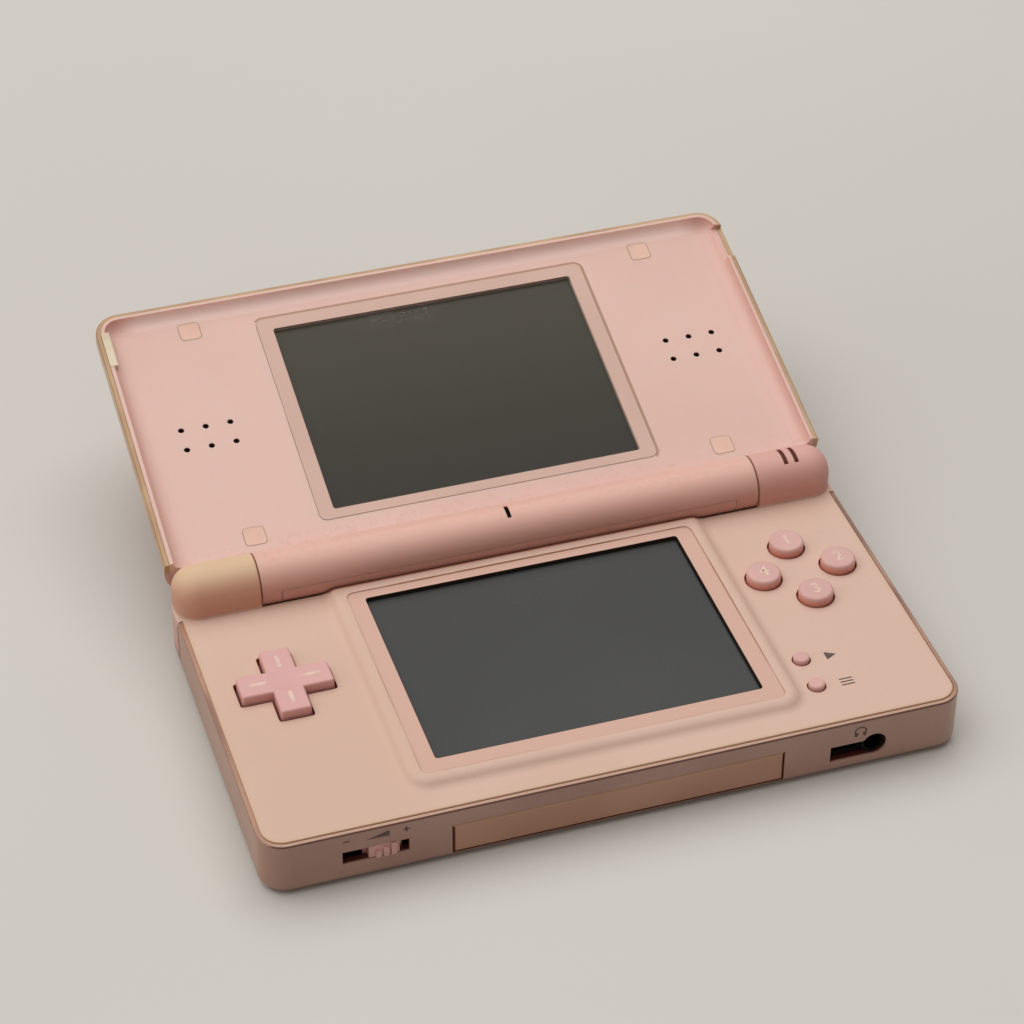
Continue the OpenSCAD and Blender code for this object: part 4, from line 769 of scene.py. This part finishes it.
# painted light and shade: the hinge barrel is painted lighter on its crest and darker low on its front
barrel = fade(tree, away, BARREL_R + 0.0004, BARREL_R - 0.0002)
_, _, high = split(tree, point)
barrel_light_and_shade = blend_colour(tree, fade(tree, high, AXIS_Z, AXIS_Z + 0.0048), paint(204, 150, 138),
                           paint(226, 179, 166))
skin = blend_colour(tree, barrel, skin, barrel_light_and_shade)
# dark tape lies in the window's seat
window = apply_effect(tree, outline, {"Point": flat, "Centre": (0, WINDOW_Y, 0), "Half Size": WINDOW_HALF,
                                      "Corner": WINDOW_CORNER, "Width": 0.0003})
sunk = meet(tree, window["Inside"], fade(tree, level, FACE_Z - 0.0002, FACE_Z - 0.0003))
skin = blend_colour(tree, sunk, skin, paint(116, 114, 99))
# painted shade: the walls of the holes and the hinge bores are painted dark brown
hole_shade = meet(tree, fade(tree, level, FACE_Z - 0.00015, FACE_Z - 0.00025),
             meet(tree, beyond, fade(tree, window["Distance"], 0.0002, 0.0004)))
radius = vectors(tree, "LENGTH", add(tree, "ShaderNodeCombineXYZ", {"Y": away, "Z": level}).outputs["Vector"])
bore_shade = meet(tree, fade(tree, radius, BARREL_R - 0.00015, BARREL_R - 0.0003),
             fade(tree, outward, KNUCKLE_X - 0.001, KNUCKLE_X - 0.002))
hole_shade = maths(tree, "MAXIMUM", hole_shade, bore_shade)
skin = blend_colour(tree, hole_shade, skin, paint(78, 44, 36))
# brown line that has gathered round the window and the screw caps
dirt = add(tree, "ShaderNodeTexNoise", {"Vector": flat, "Scale": 55.0, "Detail": 2.0}).outputs["Fac"]
line = meet(tree, window["Line"], fade(tree, dirt, 0.3, 0.55), 0.45)
# it is wider along the far and the right edge
wider = maths(tree, "MAXIMUM", fade(tree, away, WINDOW_FAR - 0.0006, WINDOW_FAR - 0.0002),
              fade(tree, sideways, WINDOW_HALF[0] - 0.00065, WINDOW_HALF[0] - 0.00025))
outside = maths(tree, "SUBTRACT", 1.0, window["Inside"])
band = meet(tree, fade(tree, window["Distance"], 0.00072, 0.00052), fade(tree, dirt, 0.1, 0.45), wider,
            outside, 0.8)
line = maths(tree, "MAXIMUM", line, band)
skin = blend_colour(tree, line, skin, paint(160, 116, 84))
mirrored = add(tree, "ShaderNodeCombineXYZ", {"X": outward, "Y": away, "Z": level}).outputs["Vector"]
for cap_y in CAP_YS:
    cap = apply_effect(tree, outline, {"Point": mirrored, "Centre": (CAP_X, cap_y, 0),
                                       "Half Size": CAP_HALF, "Corner": CAP_CORNER, "Width": 0.0003})
    skin = blend_colour(tree, meet(tree, cap["Line"], 0.6), skin, paint(186, 142, 114))
# small dents and rubbed specks along the barrel's crest
worn = meet(tree, fade(tree, away, WORN_FAR + 0.003, WORN_FAR),
            fade(tree, away, WORN_NEAR - 0.004, WORN_NEAR))
wear = apply_effect(tree, specks, {"Point": flat, "Size": 800.0, "Spread": 0.585})["Mask"]
skin = blend_colour(tree, meet(tree, wear, worn, 0.25), skin, paint(206, 166, 150))
tree.links.new(skin, shader.inputs["Base Color"])
relief(tree, shader, point, 4800.0, 0.1, 0.00004)
give(lid_finish, "lid_inner_cover", "barrel_cover")

# ---------------------------------------------------------------------------
# Lid: outer cover
# The same two-shot shell as the lower case. Its clear edge has yellowed to tan
# all round, and the back is glossy.
# ---------------------------------------------------------------------------

# the pink gives way to the yellowed edge between these heights, in the lid's flat frame
YELLOW_FROM = -0.0012
YELLOW_TO = 0.0006

lid_shell_finish, tree, shader, point = new_finish("clear_over_pink", Roughness=0.35, Coat_Weight=0.5,
                                                   Coat_Roughness=0.1)
flat = lid_point(tree, point)
_, _, level = split(tree, flat)
skin = mottled(tree, flat, 30.0, (212, 160, 150), (220, 169, 159))
aged = mottled(tree, flat, 80.0, (168, 126, 80), (186, 148, 104))
skin = blend_colour(tree, fade(tree, level, YELLOW_FROM, YELLOW_TO), skin, aged)
tree.links.new(skin, shader.inputs["Base Color"])
relief(tree, shader, point, 2600.0, 0.05, 0.00004)
give(lid_shell_finish, "lid_outer_cover")

# ---------------------------------------------------------------------------
# Upper display and its window
# A dark display behind a clear window with a printed pink border. The window is
# glued into its seat, and fine scratches have gathered near its far edge.
# ---------------------------------------------------------------------------

UPPER_SCREEN_Y = 0.0358
DISPLAY_NEAR = 0.012
DISPLAY_FAR = 0.062
# the clear part of the window, inside its printed border
CLEAR_HALF = (0.0314, 0.0234, 0)
CLEAR_FAR = UPPER_SCREEN_Y + CLEAR_HALF[1]
# how much of the display's light the clear part lets through
CLEARNESS = 0.95
# the ends of the scratched strip
SCRATCHES_LEFT = -0.007
SCRATCHES_RIGHT = -0.002

display_finish, tree, shader, point = new_finish("dark_display", Roughness=0.22, Specular_IOR_Level=0.12)
flat = lid_point(tree, point)
_, away, _ = split(tree, flat)
# painted reflection: paler toward its far edge
painted_reflection = fade(tree, away, DISPLAY_NEAR, DISPLAY_FAR)
glass = blend_colour(tree, painted_reflection, paint(30, 31, 25), paint(59, 57, 46))
tree.links.new(glass, shader.inputs["Base Color"])
give(display_finish, "upper_display")

window_finish, tree, shader, point = new_finish("clear_window", Roughness=0.12, Specular_IOR_Level=0.32)
flat = lid_point(tree, point)
# scratches, each longer across the lid than along it, in one strip by the far edge
scratch_point = add(tree, "ShaderNodeMapping", {"Vector": flat, "Scale": (1, 1.6, 1)}).outputs["Vector"]
scratched = apply_effect(tree, specks, {"Point": scratch_point, "Size": 1900.0, "Spread": 0.612})["Mask"]
sideways, away, _ = split(tree, flat)
at_far_edge = meet(tree, fade(tree, away, CLEAR_FAR - 0.006, CLEAR_FAR - 0.002),
                   fade(tree, away, CLEAR_FAR + 0.001, CLEAR_FAR - 0.0007))
in_strip = meet(tree, fade(tree, sideways, SCRATCHES_LEFT - 0.012, SCRATCHES_LEFT),
                fade(tree, sideways, SCRATCHES_RIGHT + 0.008, SCRATCHES_RIGHT))
marks = meet(tree, scratched, meet(tree, at_far_edge, in_strip))
clear = apply_effect(tree, outline, {"Point": flat, "Centre": (0, UPPER_SCREEN_Y, 0),
                                     "Half Size": CLEAR_HALF, "Corner": SCREEN_CORNER})["Inside"]
border = mottled(tree, flat, 40.0, (203, 168, 155), (207, 172, 159))
glass = blend_colour(tree, marks, paint(150, 140, 130), paint(214, 190, 160))
tree.links.new(blend_colour(tree, clear, border, glass), shader.inputs["Base Color"])
seen_through = meet(tree, clear, maths(tree, "SUBTRACT", CLEARNESS, meet(tree, marks, 0.27)))
solid = maths(tree, "SUBTRACT", 1.0, seen_through)
tree.links.new(solid, shader.inputs["Alpha"])
give(window_finish, "upper_window")

# ---------------------------------------------------------------------------
# Screw caps and rim bumper
# Soft rubber squares over the lid's screws, a little more peach than the lid,
# and a cream bumper pressed into the left seat of the rim.
# ---------------------------------------------------------------------------

give(simple_finish("peach_rubber", (222, 181, 164), (228, 189, 172), 200.0, 2600.0, 0.65), "lid_screw_caps")
give(simple_finish("cream_rubber", (212, 196, 170), (224, 209, 184), 200.0, 2200.0, 0.7), "rim_bumper")
